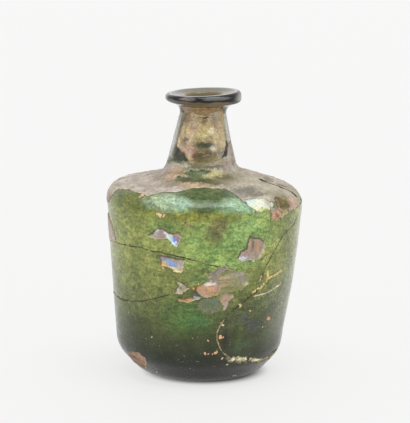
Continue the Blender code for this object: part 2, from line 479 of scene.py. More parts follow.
def idealPlace(around, along):  # place and outward direction in millimetres
    across = turnedPoint(around + 0.5, along) - turnedPoint(around - 0.5, along)
    upward = turnedPoint(around, along + 0.3) - turnedPoint(around, along - 0.3)
    return turnedPoint(around, along), across.cross(upward).normalized()


def onGlass(around, along):  # the same, on the finished glass
    here, out = idealPlace(around, along)
    hit, normal, _, _ = glassSurface.ray_cast((here + out * 3) * mm, -out, 6 * mm)
    if hit is None:
        return here, out
    return hit / mm, normal if normal.dot(out) > 0 else -normal


# Shared effects

def spotGroup():  # a soft or ragged patch round a centre; put out as a mask
    tree, asked, result = newGroup("spot", "ShaderNodeTree", {
        "Vector": "Vector", "Centre": (0, 0, 0), "Reach": (5, 5, 5), "Softness": 0.3, "Strength": 1.0,
    }, {"Mask": "Float"})
    away = vectorCalc(tree, "SUBTRACT", asked["Vector"], asked["Centre"])
    away = vectorCalc(tree, "DIVIDE", away, asked["Reach"])
    low, high = (calc(tree, way, 1.0, asked["Softness"]) for way in ("SUBTRACT", "ADD"))
    mask = span(tree, vectorCalc(tree, "LENGTH", away), low, high, 1.0, 0.0)
    tree.links.new(times(tree, mask, asked["Strength"]), result[0])
    return tree


def wanderGroup():  # object coordinates in millimetres, pushed about so that patches get ragged edges
    tree, asked, result = newGroup("ragged place", "ShaderNodeTree", {"Size": 3.0, "Amount": 1.0}, {
        "Place": "Vector", "Ragged": "Vector"})
    where = addNode(tree, "ShaderNodeTexCoord").outputs["Object"]
    place = vectorCalc(tree, "MULTIPLY", where, (1000, 1000, 1000))
    waves = grain(tree, place, calc(tree, "DIVIDE", 1.0, asked["Size"]), 4.0, 0.6, output="Color")
    push = scaled(tree, vectorCalc(tree, "SUBTRACT", waves, (0.5, 0.5, 0.5)), asked["Amount"])
    tree.links.new(place, result["Place"])
    tree.links.new(vectorCalc(tree, "ADD", place, push), result["Ragged"])
    return tree


spotNodes = spotGroup()
raggedNodes = wanderGroup()


def raggedPlace(tree, size, amount):
    made = addNode(tree, "ShaderNodeGroup", {"Size": size, "Amount": amount}, node_tree=raggedNodes)
    return made.outputs["Place"], made.outputs["Ragged"]


def spotMask(tree, vector, around, height, wide, high, soft, strength):
    return first(tree, "ShaderNodeGroup", {
        "Vector": vector, "Centre": idealPlace(around, alongAt(height))[0],
        "Reach": (wide / 2, wide / 2, high / 2), "Softness": soft, "Strength": strength}, node_tree=spotNodes)


def dapple(tree, vector, colour, spots):  # each (degrees round, height, wide, high, colour, soft, strength)
    for *where, tint, soft, strength in spots:
        colour = blend(tree, spotMask(tree, vector, *where, soft, strength), colour, paint(*tint))
    return colour


# Glass

glassIor = 1.5
bodyLook = {
    "roughness": (0.15, 0.32),
    "transmission": 0.35,
    "specular": 0.34,
    "sheen": 0.2,  # the pale bloom where the wall turns away
    "sheenRoughness": 0.35,
    "coatRoughness": 0.34,
    "coatIor": 2.1,
    "relief": (0.3, 0.0002),  # strength, and depth in metres
    "ragged": (5.0, 5.0),  # size and reach of the ragged edges
    "top": 86.0,  # height where the colours up the body end
    "livelyFrom": (16.0, 36.0),  # heights between which the film comes alive
    "bloomFrom": (20.0, 40.0),
    "mottle": (0.12, (212, 214, 198)),  # grain per millimetre, colour
    "paleFlecks": (196, 200, 168),
    "darkFlecks": (62, 60, 34),
    "heights": [  # colour up the body, by share of that height; darker towards the bottom and near black at the heel, partly the thick glass and partly painted shade by the floor
        (0.00, (6, 7, 7)), (0.06, (15, 17, 15)), (0.14, (44, 49, 34)), (0.24, (80, 89, 51)),
        (0.36, (121, 130, 71)), (0.52, (166, 170, 92)), (0.74, (200, 206, 120)), (0.85, (178, 184, 80)),
        (0.93, (120, 138, 78)), (1.00, (104, 130, 86)),
    ],
    "spots": [  # degrees round, height, wide, high, colour, softness, strength
        (8, 61, 30, 22, (186, 226, 132), 0.7, 0.75),
        (26, 66, 26, 16, (182, 222, 142), 0.7, 0.65),
        (62, 62, 12, 24, (142, 142, 96), 0.8, 0.5),
        (-22, 67, 16, 8, (134, 184, 118), 0.8, 0.5),
        (27, 54, 12, 4, (150, 196, 130), 0.8, 0.5),
        (-2, 47, 9, 4, (112, 156, 92), 0.8, 0.5),
        (-9, 31, 19, 14, (94, 136, 62), 0.8, 0.8),
        (-1, 29, 8, 5, (84, 144, 84), 0.7, 0.6),
        (8, 68.5, 8, 9, (164, 142, 98), 0.4, 0.75),
        (5, 64, 8, 5, (146, 138, 90), 0.5, 0.6),
        (-2, 72.5, 34, 4.4, (156, 148, 44), 0.7, 0.75),
        (-46, 76, 26, 7, (120, 124, 34), 0.7, 0.85),
        (0, 80, 40, 3.2, (86, 108, 66), 0.7, 0.8),
        # darker middle of the highlight band: painted shade that dims the reflection there
        (1, 77, 12, 6, (84, 100, 56), 0.5, 0.85),
        (-4, 41.6, 7, 5, (104, 94, 52), 0.5, 0.7),
        (3.5, 51, 16, 2.4, (132, 122, 60), 0.6, 0.5),
        (-8, 68, 16, 2.4, (124, 120, 52), 0.6, 0.5),
        (24, 41, 14, 6, (146, 150, 70), 0.6, 0.5),
        # teal and white in the highlight band: painted highlight
        (-25, 77.2, 16, 4.4, (206, 220, 176), 0.6, 0.8),
        (-14, 77.2, 9, 4.4, (160, 214, 186), 0.6, 0.75),
        # darker middle of the highlight band: painted shade
        (2, 77.6, 17, 4.4, (108, 138, 78), 0.6, 0.75),
        # teal and white in the highlight band: painted highlight
        (19, 77.2, 13, 4.6, (150, 196, 164), 0.6, 0.75),
        (27, 76.4, 9, 5, (138, 196, 160), 0.6, 0.7),
        (33, 24, 26, 26, (86, 92, 64), 0.6, 0.7),
        (60, 34, 18, 26, (144, 146, 122), 0.8, 0.65),
        (36.5, 26.5, 7, 4.4, (104, 108, 112), 0.6, 0.6),
        (28.5, 29.5, 5, 4, (104, 108, 106), 0.6, 0.5),
        (27, 24, 3, 7, (112, 128, 62), 0.5, 0.6),
        (26, 20, 2.4, 6, (110, 128, 66), 0.5, 0.6),
        (30, 18, 8, 4, (92, 116, 80), 0.7, 0.5),
        (17, 22, 2.6, 8, (66, 50, 34), 0.5, 0.7),
        (-58, 20, 14, 16, (100, 104, 90), 0.8, 0.4),
        # pale where the wall turns away at either side: painted reflection
        (-84, 52, 16, 52, (176, 178, 156), 0.9, 0.4),
        (84, 50, 16, 56, (182, 180, 158), 0.9, 0.45),
    ],
    "bloomSpots": [  # where the iridescent film gleams, and where its pale colour is painted in as a highlight: degrees round, height, wide, high, strength
        (-24, 77.0, 19, 6.0, 0.9),
        (-4, 78.0, 20, 4.0, 0.12),
        (22, 77.2, 14, 5.6, 0.62),
        (36, 77, 18, 6.4, 0.9),
    ],
    "bloomBase": 0.05,
    "hues": [  # colour straying over the film
        (0.3, (224, 240, 232)), (0.5, (250, 252, 246)), (0.7, (252, 246, 222)),
    ],
    # pale iridescent colour laid where the film gleams: the film's own colour with a painted highlight
    "pearlHighlight": [(0.34, (104, 142, 84)), (0.46, (152, 196, 150)), (0.56, (196, 228, 212)),
        (0.68, (226, 226, 170))],
}

neckLook = {
    "roughness": 0.09,
    "transmission": 0.88,
    "ragged": (4.0, 1.6),
    "glass": (136, 140, 98),
    "film": (196, 192, 180),
    "spots": [
        # dark strips left of the crust: dark glass with painted shade
        (-57, 95, 5.5, 8, (38, 40, 16), 0.4, 0.95),
        (-60, 101, 4.2, 8, (50, 44, 24), 0.45, 0.9),
        (-57, 106, 3.6, 7, (50, 42, 26), 0.45, 0.9),
        (-50, 109.6, 3.2, 4.6, (110, 96, 70), 0.5, 0.7),
        # dark strip along the crust's right edge: painted shadow of the crust
        (54, 101, 2.6, 12, (60, 50, 34), 0.45, 0.85),
        (54, 94, 3.4, 6, (84, 76, 50), 0.45, 0.7),
        (140, 98, 8, 16, (84, 92, 58), 0.6, 0.6),
        # pale bands where the neck turns away at either side: painted reflection
        (-84, 100, 7.5, 26, (236, 230, 224), 0.5, 0.95),
        (86, 101, 7.5, 22, (240, 232, 222), 0.5, 0.95),
        (-120, 103, 7, 14, (96, 92, 64), 0.6, 0.6),
    ],
}

rimLook = {
    "roughness": 0.12,
    "transmission": 0.25,
    "specular": 0.3,
    "ragged": (5.0, 1.3),
    "topReach": (7.0, 15.8),  # radii between which the top's colours run
    # the palest stop, at the mouth, is partly painted light that lifts the shade inside the mouth
    "top": [(0.0, (150, 138, 102)), (0.45, (94, 86, 66)), (0.75, (78, 74, 62)), (1.0, (84, 81, 71))],
    "lip": (13.3, 14.0, (198, 190, 176)),  # radius of the pale line inside the dark edge: a painted highlight along the lip
    "bandFrom": 114.5,  # height where the dark glossy edge begins, darkened as painted shade
    # near-black edge: dark glass with painted shade
    "edgeShadeColour": (10, 11, 8),
    "stains": [  # brown crust on the lower lip
        (-32, 114.4, 11, 1.7, (118, 102, 82), 0.45, 0.85),
        (-4, 114.4, 11, 1.7, (130, 108, 78), 0.45, 0.85),
        (24, 114.4, 11, 1.7, (138, 118, 88), 0.45, 0.85),
    ],
    "paintedGlints": [  # painted reflections: paler places on the dark edge
        (22, 116.6, 12, 1.5, (118, 120, 116), 0.3, 0.85),
        (20, 115.0, 5, 1.0, (84, 82, 72), 0.4, 0.7),
        (-22, 116.8, 5.4, 1.7, (116, 106, 106), 0.3, 0.85),
        (-36, 114.9, 10, 1.3, (112, 112, 108), 0.3, 0.85),
        (-54, 114.8, 8, 1.8, (128, 128, 124), 0.5, 0.85),
        (-30, 116.6, 5, 0.7, (150, 138, 136), 0.5, 0.7),
        (-80, 115.8, 6, 3.4, (138, 142, 142), 0.6, 0.8),
        (76, 115.8, 9, 3.6, (168, 168, 160), 0.6, 0.9),
        (120, 115.4, 9, 1.6, (120, 122, 116), 0.5, 0.8),
        (165, 116.2, 12, 1.4, (112, 114, 108), 0.5, 0.8),
        (-150, 115, 9, 1.5, (118, 116, 104), 0.5, 0.8),
        (-115, 116, 7, 1.8, (120, 122, 116), 0.5, 0.8),
    ],
}


def bodyGlass():
    look = bodyLook
    material, tree, shader = newMaterial("green_glass_body")
    place, ragged = raggedPlace(tree, *look["ragged"])
    height = addNode(tree, "ShaderNodeSeparateXYZ", {0: ragged}).outputs["Z"]
    colour = ramp(tree, calc(tree, "DIVIDE", height, look["top"], clamp=True), look["heights"])
    colour = dapple(tree, ragged, colour, look["spots"])
    perMillimetre, tint = look["mottle"]
    mottled = blend(tree, 1.0, colour, paint(*tint), "MULTIPLY")
    clear = span(tree, grain(tree, place, perMillimetre, 4.0, 0.6), 0.36, 0.64)
    colour = blend(tree, clear, mottled, colour)
    bloom = span(tree, height, *look["bloomFrom"], 0.0, look["bloomBase"])
    for *where, strength in look["bloomSpots"]:
        bloom = calc(tree, "MAXIMUM", spotMask(tree, ragged, *where, 0.6, strength), bloom)
    speckled = grain(tree, place, 0.75, 5.0, 0.7)
    # pale colour where the film gleams: partly painted highlight
    colour = blend(tree, times(tree, bloom, 0.6), colour, ramp(tree, speckled, look["pearlHighlight"]))
    lively = span(tree, height, *look["livelyFrom"], 0.4, 1.0)
    hue = ramp(tree, grain(tree, place, 0.24, 4.0, 0.6), look["hues"])
    colour = blend(tree, lively, colour, blend(tree, 1.0, colour, hue, "MULTIPLY"))
    streaks = grain(tree, ragged, 0.42, 4.0, 0.7, (0.8, 0.8, 2.2))
    streaks = span(tree, streaks, 0.3, 0.7, 0.46, 1.56, smooth=False)
    fine = grain(tree, place, 1.1, 4.0, 0.65)
    tone = times(tree, streaks, span(tree, fine, 0.3, 0.7, 0.54, 1.48, smooth=False))
    tone = calc(tree, "MULTIPLY_ADD", calc(tree, "SUBTRACT", tone, 1.0), lively, 1.0)
    colour = toned(tree, colour, tone)
    flecks = grain(tree, place, 0.9, 2.0, 0.5)
    colour = blend(tree, span(tree, flecks, 0.68, 0.74, 0.0, 0.4), colour, paint(*look["paleFlecks"]))
    colour = blend(tree, span(tree, flecks, 0.32, 0.26, 0.0, 0.5), colour, paint(*look["darkFlecks"]))
    patchy = times(tree, span(tree, grain(tree, place, 0.35, 4.0, 0.65), 0.3, 0.65, 0.5, 1.0),
                   span(tree, speckled, 0.36, 0.6, 0.4, 1.0))
    feed(tree, shader, {
        "Base Color": colour,
        "Roughness": span(tree, grain(tree, place, 0.4, 3.0), 0.3, 0.7, *look["roughness"]),
        "IOR": glassIor,
        "Transmission Weight": look["transmission"],
        "Specular IOR Level": look["specular"],
        "Sheen Weight": look["sheen"],
        "Sheen Roughness": look["sheenRoughness"],
        "Coat Weight": times(tree, bloom, patchy),
        "Coat Roughness": look["coatRoughness"],
        "Coat IOR": look["coatIor"],
        "Normal": roughen(tree, *look["relief"], fine),
    })
    return material


def neckGlass():
    look = neckLook
    material, tree, shader = newMaterial("green_glass_neck")
    place, ragged = raggedPlace(tree, *look["ragged"])
    film = span(tree, grain(tree, place, 0.5, 3.0), 0.45, 0.7, 0.0, 0.5)
    colour = blend(tree, film, paint(*look["glass"]), paint(*look["film"]))
    feed(tree, shader, {
        "Base Color": dapple(tree, ragged, colour, look["spots"]),
        "Roughness": look["roughness"],
        "IOR": glassIor,
        "Transmission Weight": look["transmission"],
    })
    return material


def rimGlass():
    look = rimLook
    material, tree, shader = newMaterial("green_glass_rim")
    place, ragged = raggedPlace(tree, *look["ragged"])
    parts = addNode(tree, "ShaderNodeSeparateXYZ", {0: ragged}).outputs
    top = bottleForm["rimTop"][1]
    level = calc(tree, "SUBTRACT", parts["Z"], times(tree, parts["X"], tiltAt(top)))
    radius = fromAxis(tree, vectorCalc(tree, "SUBTRACT", place, (leanAt(top) + sideways, 0, 0)))
    colour = ramp(tree, span(tree, radius, *look["topReach"], smooth=False), look["top"])
    cloud = grain(tree, place, 0.45, 4.0, 0.65, (1, 1, 2))
    colour = toned(tree, colour, span(tree, cloud, 0.3, 0.7, 0.72, 1.15, smooth=False))
    low = look["bandFrom"]
    lipFrom, lipTo, lipHighlight = look["lip"]
    # a pale painted highlight along the lip
    line = times(tree, span(tree, radius, lipFrom - 0.3, lipFrom),
                 span(tree, radius, lipTo, lipTo + 0.2, 1.0, 0.0))
    colour = blend(tree, times(tree, line, 0.7), colour, paint(*lipHighlight))
    # the near-black edge: dark glass with painted shade, and painted reflections on it
    band = times(tree, span(tree, level, low - 0.3, low + 0.2), span(tree, radius, lipTo - 0.1, lipTo + 0.3))
    edge = dapple(tree, ragged, paint(*look["edgeShadeColour"]), look["paintedGlints"])
    feed(tree, shader, {
        "Base Color": dapple(tree, ragged, blend(tree, band, colour, edge), look["stains"]),
        "Roughness": look["roughness"],
        "IOR": glassIor,
        "Transmission Weight": look["transmission"],
        "Specular IOR Level": look["specular"],
    })
    return material


bottleSection = lineMesh("half_section", [(swollen(r, z) * mm, 0, z * mm) for r, z in section], {
    "lean": [(leanAt(z) + sideways) * mm for _, z in section],
    "tilt": [tiltAt(z) for _, z in section],
})
bottle = growWith(bottleTree(), bottleSection, {
    "Segments": bottleForm["segments"],
    "Weld": bottleForm["weld"] * mm,
    "Unevenness": bottleForm["unevenness"] * mm,
    "Uneven Size": bottleForm["unevenSize"] * mm,
    "Calm Height": bottleForm["calmHeight"] * mm,
    "Pontil Scar": bottleForm["pontilScar"] * mm,
    "Pontil Radius": bottleForm["pontilRadius"] * mm,
    "Pontil Width": bottleForm["pontilWidth"] * mm,
    "Neck Glass From": bottleForm["neckGlassFrom"] * mm,
    "Rim Glass From": bottleForm["rimGlassFrom"] * mm,
    "Body Glass": bodyGlass(),
    "Neck Glass": neckGlass(),
    "Rim Glass": rimGlass(),
}, "blown_glass_bottle")
shaper = bmesh.new()
shaper.from_mesh(bottle.data)
if shaper.calc_volume(signed=True) < 0:
    bmesh.ops.reverse_faces(shaper, faces=shaper.faces)
    shaper.to_mesh(bottle.data)
glassSurface = BVHTree.FromBMesh(shaper)
print("glass blown:", len(bottle.data.polygons), "faces, closed:", all(e.is_manifold for e in shaper.edges))
shaper.free()
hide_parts("glass_bottle")
settle(bottle)


# Weathering laid on the glass: thin closed shells with ragged edges

def distanceTo(outline, x, y):  # signed distance in from a closed outline
    nearest, within = 1e9, False
    for (x0, y0), (x1, y1) in zip(outline, outline[1:] + outline[:1]):
        dx, dy = x1 - x0, y1 - y0
        t = clamped(((x - x0) * dx + (y - y0) * dy) / (dx * dx + dy * dy))
        nearest = min(nearest, math.hypot(x - x0 - t * dx, y - y0 - t * dy))
        if (y0 > y) != (y1 > y) and x < x0 + (y - y0) / dy * dx:
            within = not within
    return nearest if within else -nearest


def shadedEdge(mask, around, along, inward):  # 1 at a patch's upper or left edge, 0 at its lower or right one: which side faces away from the light above, for painted shade and painted light on the edges
    if inward > 2.5:
        return 0.5
    here = turnedPoint(around, along)
    turn = math.degrees(0.3 / max(4.0, sectionAt(along)[0]))
    across = mask(around + turn, along, here) - mask(around - turn, along, here)
    upward = mask(around, along + 0.3, here) - mask(around, along - 0.3, here)
    length = math.hypot(across, upward)
    return 0.5 + 0.5 * (0.5 * across - 0.87 * upward) / length if length > 1e-6 else 0.5


def layPatch(name, arounds, alongs, mask, rise, sunk, material, closedRound=False):
    # arounds in degrees, alongs in millimetres; mask(around, along, point) is the distance in from the edge
    wide, high = len(arounds), len(alongs)
    masks = {(i, j): mask(around, along, turnedPoint(around, along))
             for i, along in enumerate(alongs) for j, around in enumerate(arounds)}
    numbers, kept = {}, []  # kept holds (around, along, mask) of each point

    def numbered(key, point):
        if key not in numbers:
            numbers[key] = len(kept)
            kept.append(point)
        return numbers[key]

    def cornerAt(i, j):
        return numbered((i, j), (arounds[j], alongs[i], masks[i, j]))

    def cutBetween(a, b):  # where the patch's edge crosses a side of the grid
        a, b = min(a, b), max(a, b)
        share = clamped(masks[a] / (masks[a] - masks[b]), 0.03, 0.97)
        around = arounds[a[1]] + turnFrom(arounds[a[1]], arounds[b[1]]) * share
        return numbered((a, b), (around, alongs[a[0]] + (alongs[b[0]] - alongs[a[0]]) * share, 0.0))

    faces = []
    for i in range(high - 1):
        for j in range(wide if closedRound else wide - 1):
            right = (j + 1) % wide
            cell = [(i, j), (i, right), (i + 1, right), (i + 1, j)]
            if all(masks[c] > 0 for c in cell):
                faces.append([cornerAt(*c) for c in cell])
                continue
            for three in (cell[:3], [cell[0], *cell[2:]]):
                ring = []
                for a, b in zip(three, three[1:] + three[:1]):
                    if masks[a] > 0:
                        ring.append(cornerAt(*a))
                    if (masks[a] > 0) != (masks[b] > 0):
                        ring.append(cutBetween(a, b))
                if len(ring) > 2:
                    faces.append(ring)
    count = len(kept)
    uppers, lowers = [], []
    for around, along, inward in kept:
        here, out = onGlass(around, along)
        uppers.append((here + out * rise(inward, here)) * mm)
        lowers.append((here - out * sunk) * mm)
    sides = {pair: True for ring in faces for pair in zip(ring, ring[1:] + ring[:1])}
    walls = [(b, a, a + count, b + count) for a, b in sides if (b, a) not in sides]
    shell = faces + [[k + count for k in reversed(ring)] for ring in faces] + walls
    mesh = bpy.data.meshes.new(name)
    mesh.from_pydata(uppers + lowers, [], shell)
    for label, values in (
        ("inward", [inward for _, _, inward in kept] + [0.0] * count),
        ("shaded", [shadedEdge(mask, *point) for point in kept] * 2),
    ):
        mesh.attributes.new(label, "FLOAT", "POINT").data.foreach_set("value", values)
    mesh.shade_smooth()
    mesh.set_sharp_from_angle(angle=math.radians(50))
    mesh.materials.append(material)
    print("laid:", name, len(shell), "faces")
    return settle(newObject(name, mesh))


def steps(low, high, step):
    count = max(2, math.ceil((high - low) / step))
    return [low + (high - low) * k / count for k in range(count + 1)]


def crustMaterial(name, colours, spots, look):
    material, tree, shader = newMaterial(name)
    place, ragged = raggedPlace(tree, look["raggedSize"], look["raggedAmount"])
    layered = (1, 1, look["layered"])

    def covered(colour, value, low, high, share, tint):  # a tint laid where a value is high
        return blend(tree, span(tree, value, low, high, 0.0, look[share]), colour, paint(*look[tint]))

    broad = grain(tree, place, look["broad"], 4.0, 0.6)
    colour = ramp(tree, span(tree, broad, 0.28, 0.72, smooth=False), colours)
    thin = grain(tree, ragged, look["thinSize"], 5.0, 0.65, layered)
    low = look["thinFrom"]
    colour = covered(colour, thin, low, low + 0.1, "thinShare", "thinColour")
    colour = dapple(tree, ragged, colour, spots)
    layers = grain(tree, ragged, look["fine"], 4.0, 0.7, layered)
    colour = toned(tree, colour, span(tree, layers, 0.28, 0.72, look["dark"], look["light"], smooth=False))
    pits = grain(tree, place, look["pitSize"], 2.0, 0.5)
    colour = covered(colour, pits, 0.62, 0.7, "pitShare", "pitColour")
    # painted light and shade on the edges: upper or left edges darker as painted shade, lower or right ones
    # paler as painted light
    inward, shaded = (addNode(tree, "ShaderNodeAttribute", attribute_name=label).outputs["Fac"]
                      for label in ("inward", "shaded"))
    shaded = span(tree, shaded, 0.35, 0.7)
    edge = blend(tree, shaded, paint(*look["lowerEdge"]), paint(*look["upperEdge"]))
    reach = span(tree, shaded, 0.0, 1.0, *look["edgeWidth"], smooth=False)
    share = calc(tree, "SUBTRACT", 1.0, calc(tree, "DIVIDE", inward, reach, clamp=True))
    share = times(tree, span(tree, share, 0.0, 0.6), look["edgeShare"])
    colour = blend(tree, share, colour, edge)
    # a dark painted shadow line round the very edge
    line = span(tree, inward, 0.06, 0.2, look["edgeShadowShare"], 0.0)
    feed(tree, shader, {
        "Base Color": blend(tree, line, colour, paint(*look["edgeShadowColour"])),
        "Roughness": span(tree, layers, 0.3, 0.7, *look["rough"]),
        "Normal": roughen(tree, 0.6, 0.0003, layers),
    })
    return material


# Crust on the shoulder

shoulderCrust = {
    "lowerEdge": [  # degrees round, height where the crust ends
        (-180, 74), (-152, 76.5), (-128, 73), (-106, 75), (-92, 71.5), (-79, 71.3), (-72, 74.5), (-70, 78),
        (-57, 79), (-38, 78.4), (-31, 80.2), (-19, 80.7), (-10, 81.8), (0, 82), (19, 81.6), (23, 80.5),
        (25, 77.5), (29, 75), (40, 74.4), (43, 71.6), (47, 70.2), (56, 72), (64, 73.2), (80, 74.2),
        (98, 72), (117, 75.5), (140, 73), (162, 76), (180, 74),
    ],
    "upperEdge": [  # degrees round, height where the neck comes clear
        (-180, 92), (-120, 90), (-78, 89.5), (-40, 90.5), (-20, 91.5), (0, 91), (30, 91.5), (52, 92),
        (62, 97), (80, 97.5), (96, 92), (140, 94), (180, 92),
    ],
    "gaps": [  # glass showing: degrees, height, wide, high
        (-4, 86.5, 7.0, 2.4), (-27, 84.6, 3.4, 1.0), (134, 87, 7, 4), (35.5, 77.1, 13.6, 6.6),
    ],
    "arounds": (-180, 179.1),  # degrees, all the way round
    "turnStep": 0.95,
    "reach": (68.5, 99),
    "step": 0.62,
    "thickness": 0.3,
    "raggedness": 0.8,
}


def shoulderMask():
    low, top = ([(around, alongAt(height)) for around, height in shoulderCrust[edge]]
                for edge in ("lowerEdge", "upperEdge"))
    gaps = [(a, alongAt(h), w / 2, t / 2) for a, h, w, t in shoulderCrust["gaps"]]

    def edgeAt(stations, around):
        k = next(k for k in range(len(stations) - 1) if around <= stations[k + 1][0])
        share = (around - stations[k][0]) / (stations[k + 1][0] - stations[k][0])
        return stations[k][1] + share * (stations[k + 1][1] - stations[k][1])

    def mask(around, along, point):
        around = turnFrom(0, around)
        ragged = stray(point, 0.45, shoulderCrust["raggedness"], 4, 0.7) + stray(point, 1.6, 0.25, 3, 0.7)
        up = (along - edgeAt(low, around)) * 0.85 + ragged
        inward = min(up, edgeAt(top, around) - along + 1.2 * ragged)
        for middle, height, halfWide, halfHigh in gaps:
            across = math.radians(turnFrom(middle, around)) * sectionAt(along)[0]
            far = math.hypot(across / halfWide, (along - height) / halfHigh)
            inward = min(inward, (far - 1) * min(halfWide, halfHigh) + 1.6 * ragged)
        return inward

    return mask


def crustRise(thickness, grainSize, grainHeight, edgeWidth, slim=1.0):  # slim: share left up the neck
    def rise(inward, point):
        full = softly(inward, -0.15, edgeWidth) * (1 - (1 - slim) * softly(point.z, 83, 89))
        rough = stray(point, grainSize * 3.7, octaves=2, roughness=0.9, finer=2.0)
        plates = stray(point, grainSize, octaves=4, roughness=0.75)
        return max(0.06, full * (thickness + grainHeight * plates + 0.35 * grainHeight * rough))
    return rise


shoulderLook = {
    "raggedSize": 2.0, "raggedAmount": 3.6, "broad": 0.22, "fine": 0.95, "layered": 3.2, "dark": 0.5,
    "light": 1.4, "thinSize": 0.3, "thinFrom": 0.56, "thinShare": 0.6, "thinColour": (132, 122, 92),
    "pitSize": 1.6, "pitShare": 0.7, "pitColour": (96, 82, 66), "rough": (0.62, 0.9),
    # edge colours: lower edge painted light, upper edge painted shade, then a painted shadow line round the
    # edge
    "lowerEdge": (206, 190, 160), "upperEdge": (110, 96, 74), "edgeWidth": (0.9, 0.7), "edgeShare": 0.5,
    "edgeShadowShare": 0.75, "edgeShadowColour": (66, 56, 34),
}
shoulderColours = [
    (0.0, (140, 124, 108)), (0.3, (166, 152, 140)), (0.6, (182, 172, 160)), (1.0, (200, 192, 178))]
shoulderSpots = [
    (-38, 86.5, 8, 4, (196, 160, 128), 0.6, 0.8),
    (26, 85, 9, 3, (206, 194, 150), 0.6, 0.8),
    (6, 84.4, 36, 4.4, (114, 108, 70), 0.7, 0.85),
    (-2, 86.5, 14, 6, (88, 104, 58), 0.5, 0.9),
    (-20, 84.2, 8, 1.6, (70, 72, 48), 0.5, 0.85),
    (2, 83.8, 9, 1.2, (66, 70, 46), 0.5, 0.85),
    (15, 83.0, 7, 1.2, (84, 84, 54), 0.5, 0.8),
    (-2, 82.7, 12, 0.7, (186, 158, 118), 0.5, 0.8),
    (54, 76, 10, 8, (92, 84, 58), 0.5, 0.8),
    (57, 79.2, 11, 3, (122, 118, 86), 0.6, 0.7),
    (61, 77.4, 6, 4, (122, 116, 88), 0.6, 0.7),
    (0, 90.4, 9, 3, (104, 98, 54), 0.6, 0.85),
    (21, 90.2, 10, 2.6, (170, 162, 126), 0.6, 0.75),
    (26, 88.4, 7, 1.6, (100, 94, 92), 0.5, 0.75),
    (24, 87.0, 7, 1.4, (208, 198, 160), 0.5, 0.7),
    (-31, 90.6, 10, 1.6, (146, 142, 112), 0.6, 0.75),
    (-34, 89.3, 8, 1.0, (210, 204, 178), 0.5, 0.75),
    (46, 71.6, 8, 4, (172, 134, 102), 0.5, 0.8),
    (66, 74, 8, 8, (190, 150, 134), 0.6, 0.7),
    (60, 81, 30, 7, (172, 166, 140), 0.8, 0.55),
    (80, 77, 16, 12, (150, 146, 118), 0.8, 0.6),
    (36, 81, 15, 1.8, (96, 96, 84), 0.6, 0.75),
    (36, 79.8, 16, 1.0, (88, 96, 84), 0.5, 0.7),
    (30, 79, 8, 2.0, (166, 150, 146), 0.6, 0.6),
    (17, 85.6, 8, 2.0, (214, 200, 140), 0.6, 0.7),
    (32, 84.3, 8, 1.6, (92, 88, 60), 0.5, 0.75),
    (-11.5, 82.9, 9, 0.9, (200, 172, 136), 0.5, 0.8),
    (-43.5, 84.7, 8, 2.0, (206, 172, 146), 0.6, 0.7),
    (-40, 87.4, 8, 1.4, (190, 168, 140), 0.6, 0.7),
    (-37.5, 90.6, 6, 2.4, (120, 124, 100), 0.6, 0.75),
    (-51, 81.5, 9, 1.2, (150, 132, 122), 0.6, 0.6),
    (-28, 82.6, 10, 1.0, (140, 122, 100), 0.6, 0.6),
    (81, 81.8, 16, 1.2, (104, 102, 84), 0.5, 0.7),
]
layPatch(
    "shoulder_crust", steps(*shoulderCrust["arounds"], shoulderCrust["turnStep"]),
    steps(*(alongAt(height) for height in shoulderCrust["reach"]), shoulderCrust["step"]), shoulderMask(),
    crustRise(shoulderCrust["thickness"], 0.5, 0.2, 0.3, 0.4), 0.25,
    crustMaterial("shoulder_crust", shoulderColours, shoulderSpots, shoulderLook), closedRound=True)


# Crust on the neck, front and back, and the brown band under the rim

neckCrust = {
    "frontOutline": [  # millimetres right of and above the middle of the patch
        (-4.6, 10.6), (-7.8, 8.8), (-8.8, 4.8), (-10.6, 1), (-11.8, -2.5), (-11.4, -5.0), (-8.4, -6.8),
        (-6.0, -8.6), (-4.2, -11.4), (3, -11.4), (9.6, -10.2), (12.0, -5), (11.4, 0), (10.6, 5),
        (9.6, 11.4), (4.0, 11.0), (1.8, 9.0),
    ],
    "frontAt": (-2, 101.2),
    "backOutline": [(-9, 7), (-4, 10), (2, 8.5), (8, 9.5), (10.5, 3), (9, -4), (11, -9), (2, -10), (-5, -7),
        (-11, -9), (-9, -1)],
    "backAt": (172, 100.5),
    "thickness": 0.3,
    "bandHeights": (109.8, 112.6),
    "bandArcs": [(-56, 40), (110, 238)],  # degrees round, where the brown band lies
    "step": 0.42,
}


def outlineMask(outline, at, coarse, fine):
    middle = alongAt(at[1])

    def mask(around, along, point):
        right = math.radians(turnFrom(at[0], around)) * sectionAt(along)[0]
        ragged = stray(point, 0.55, coarse) + stray(point, 2.1, fine)
        return distanceTo(outline, right, along - middle) + ragged
    return mask


def layOutline(name, outline, at, step, coarse, fine, rise, sunk, material):
    middle = alongAt(at[1])
    radius = sectionAt(middle)[0]
    xs, ys = zip(*outline)
    slack = 1.6 + coarse
    wide = math.degrees((max(abs(x) for x in xs) + slack) / (radius * 0.8))
    arounds = steps(at[0] - wide, at[0] + wide, math.degrees(step / radius))
    alongs = steps(middle + min(ys) - slack, middle + max(ys) + slack, step)
    return layPatch(name, arounds, alongs, outlineMask(outline, at, coarse, fine), rise, sunk, material)


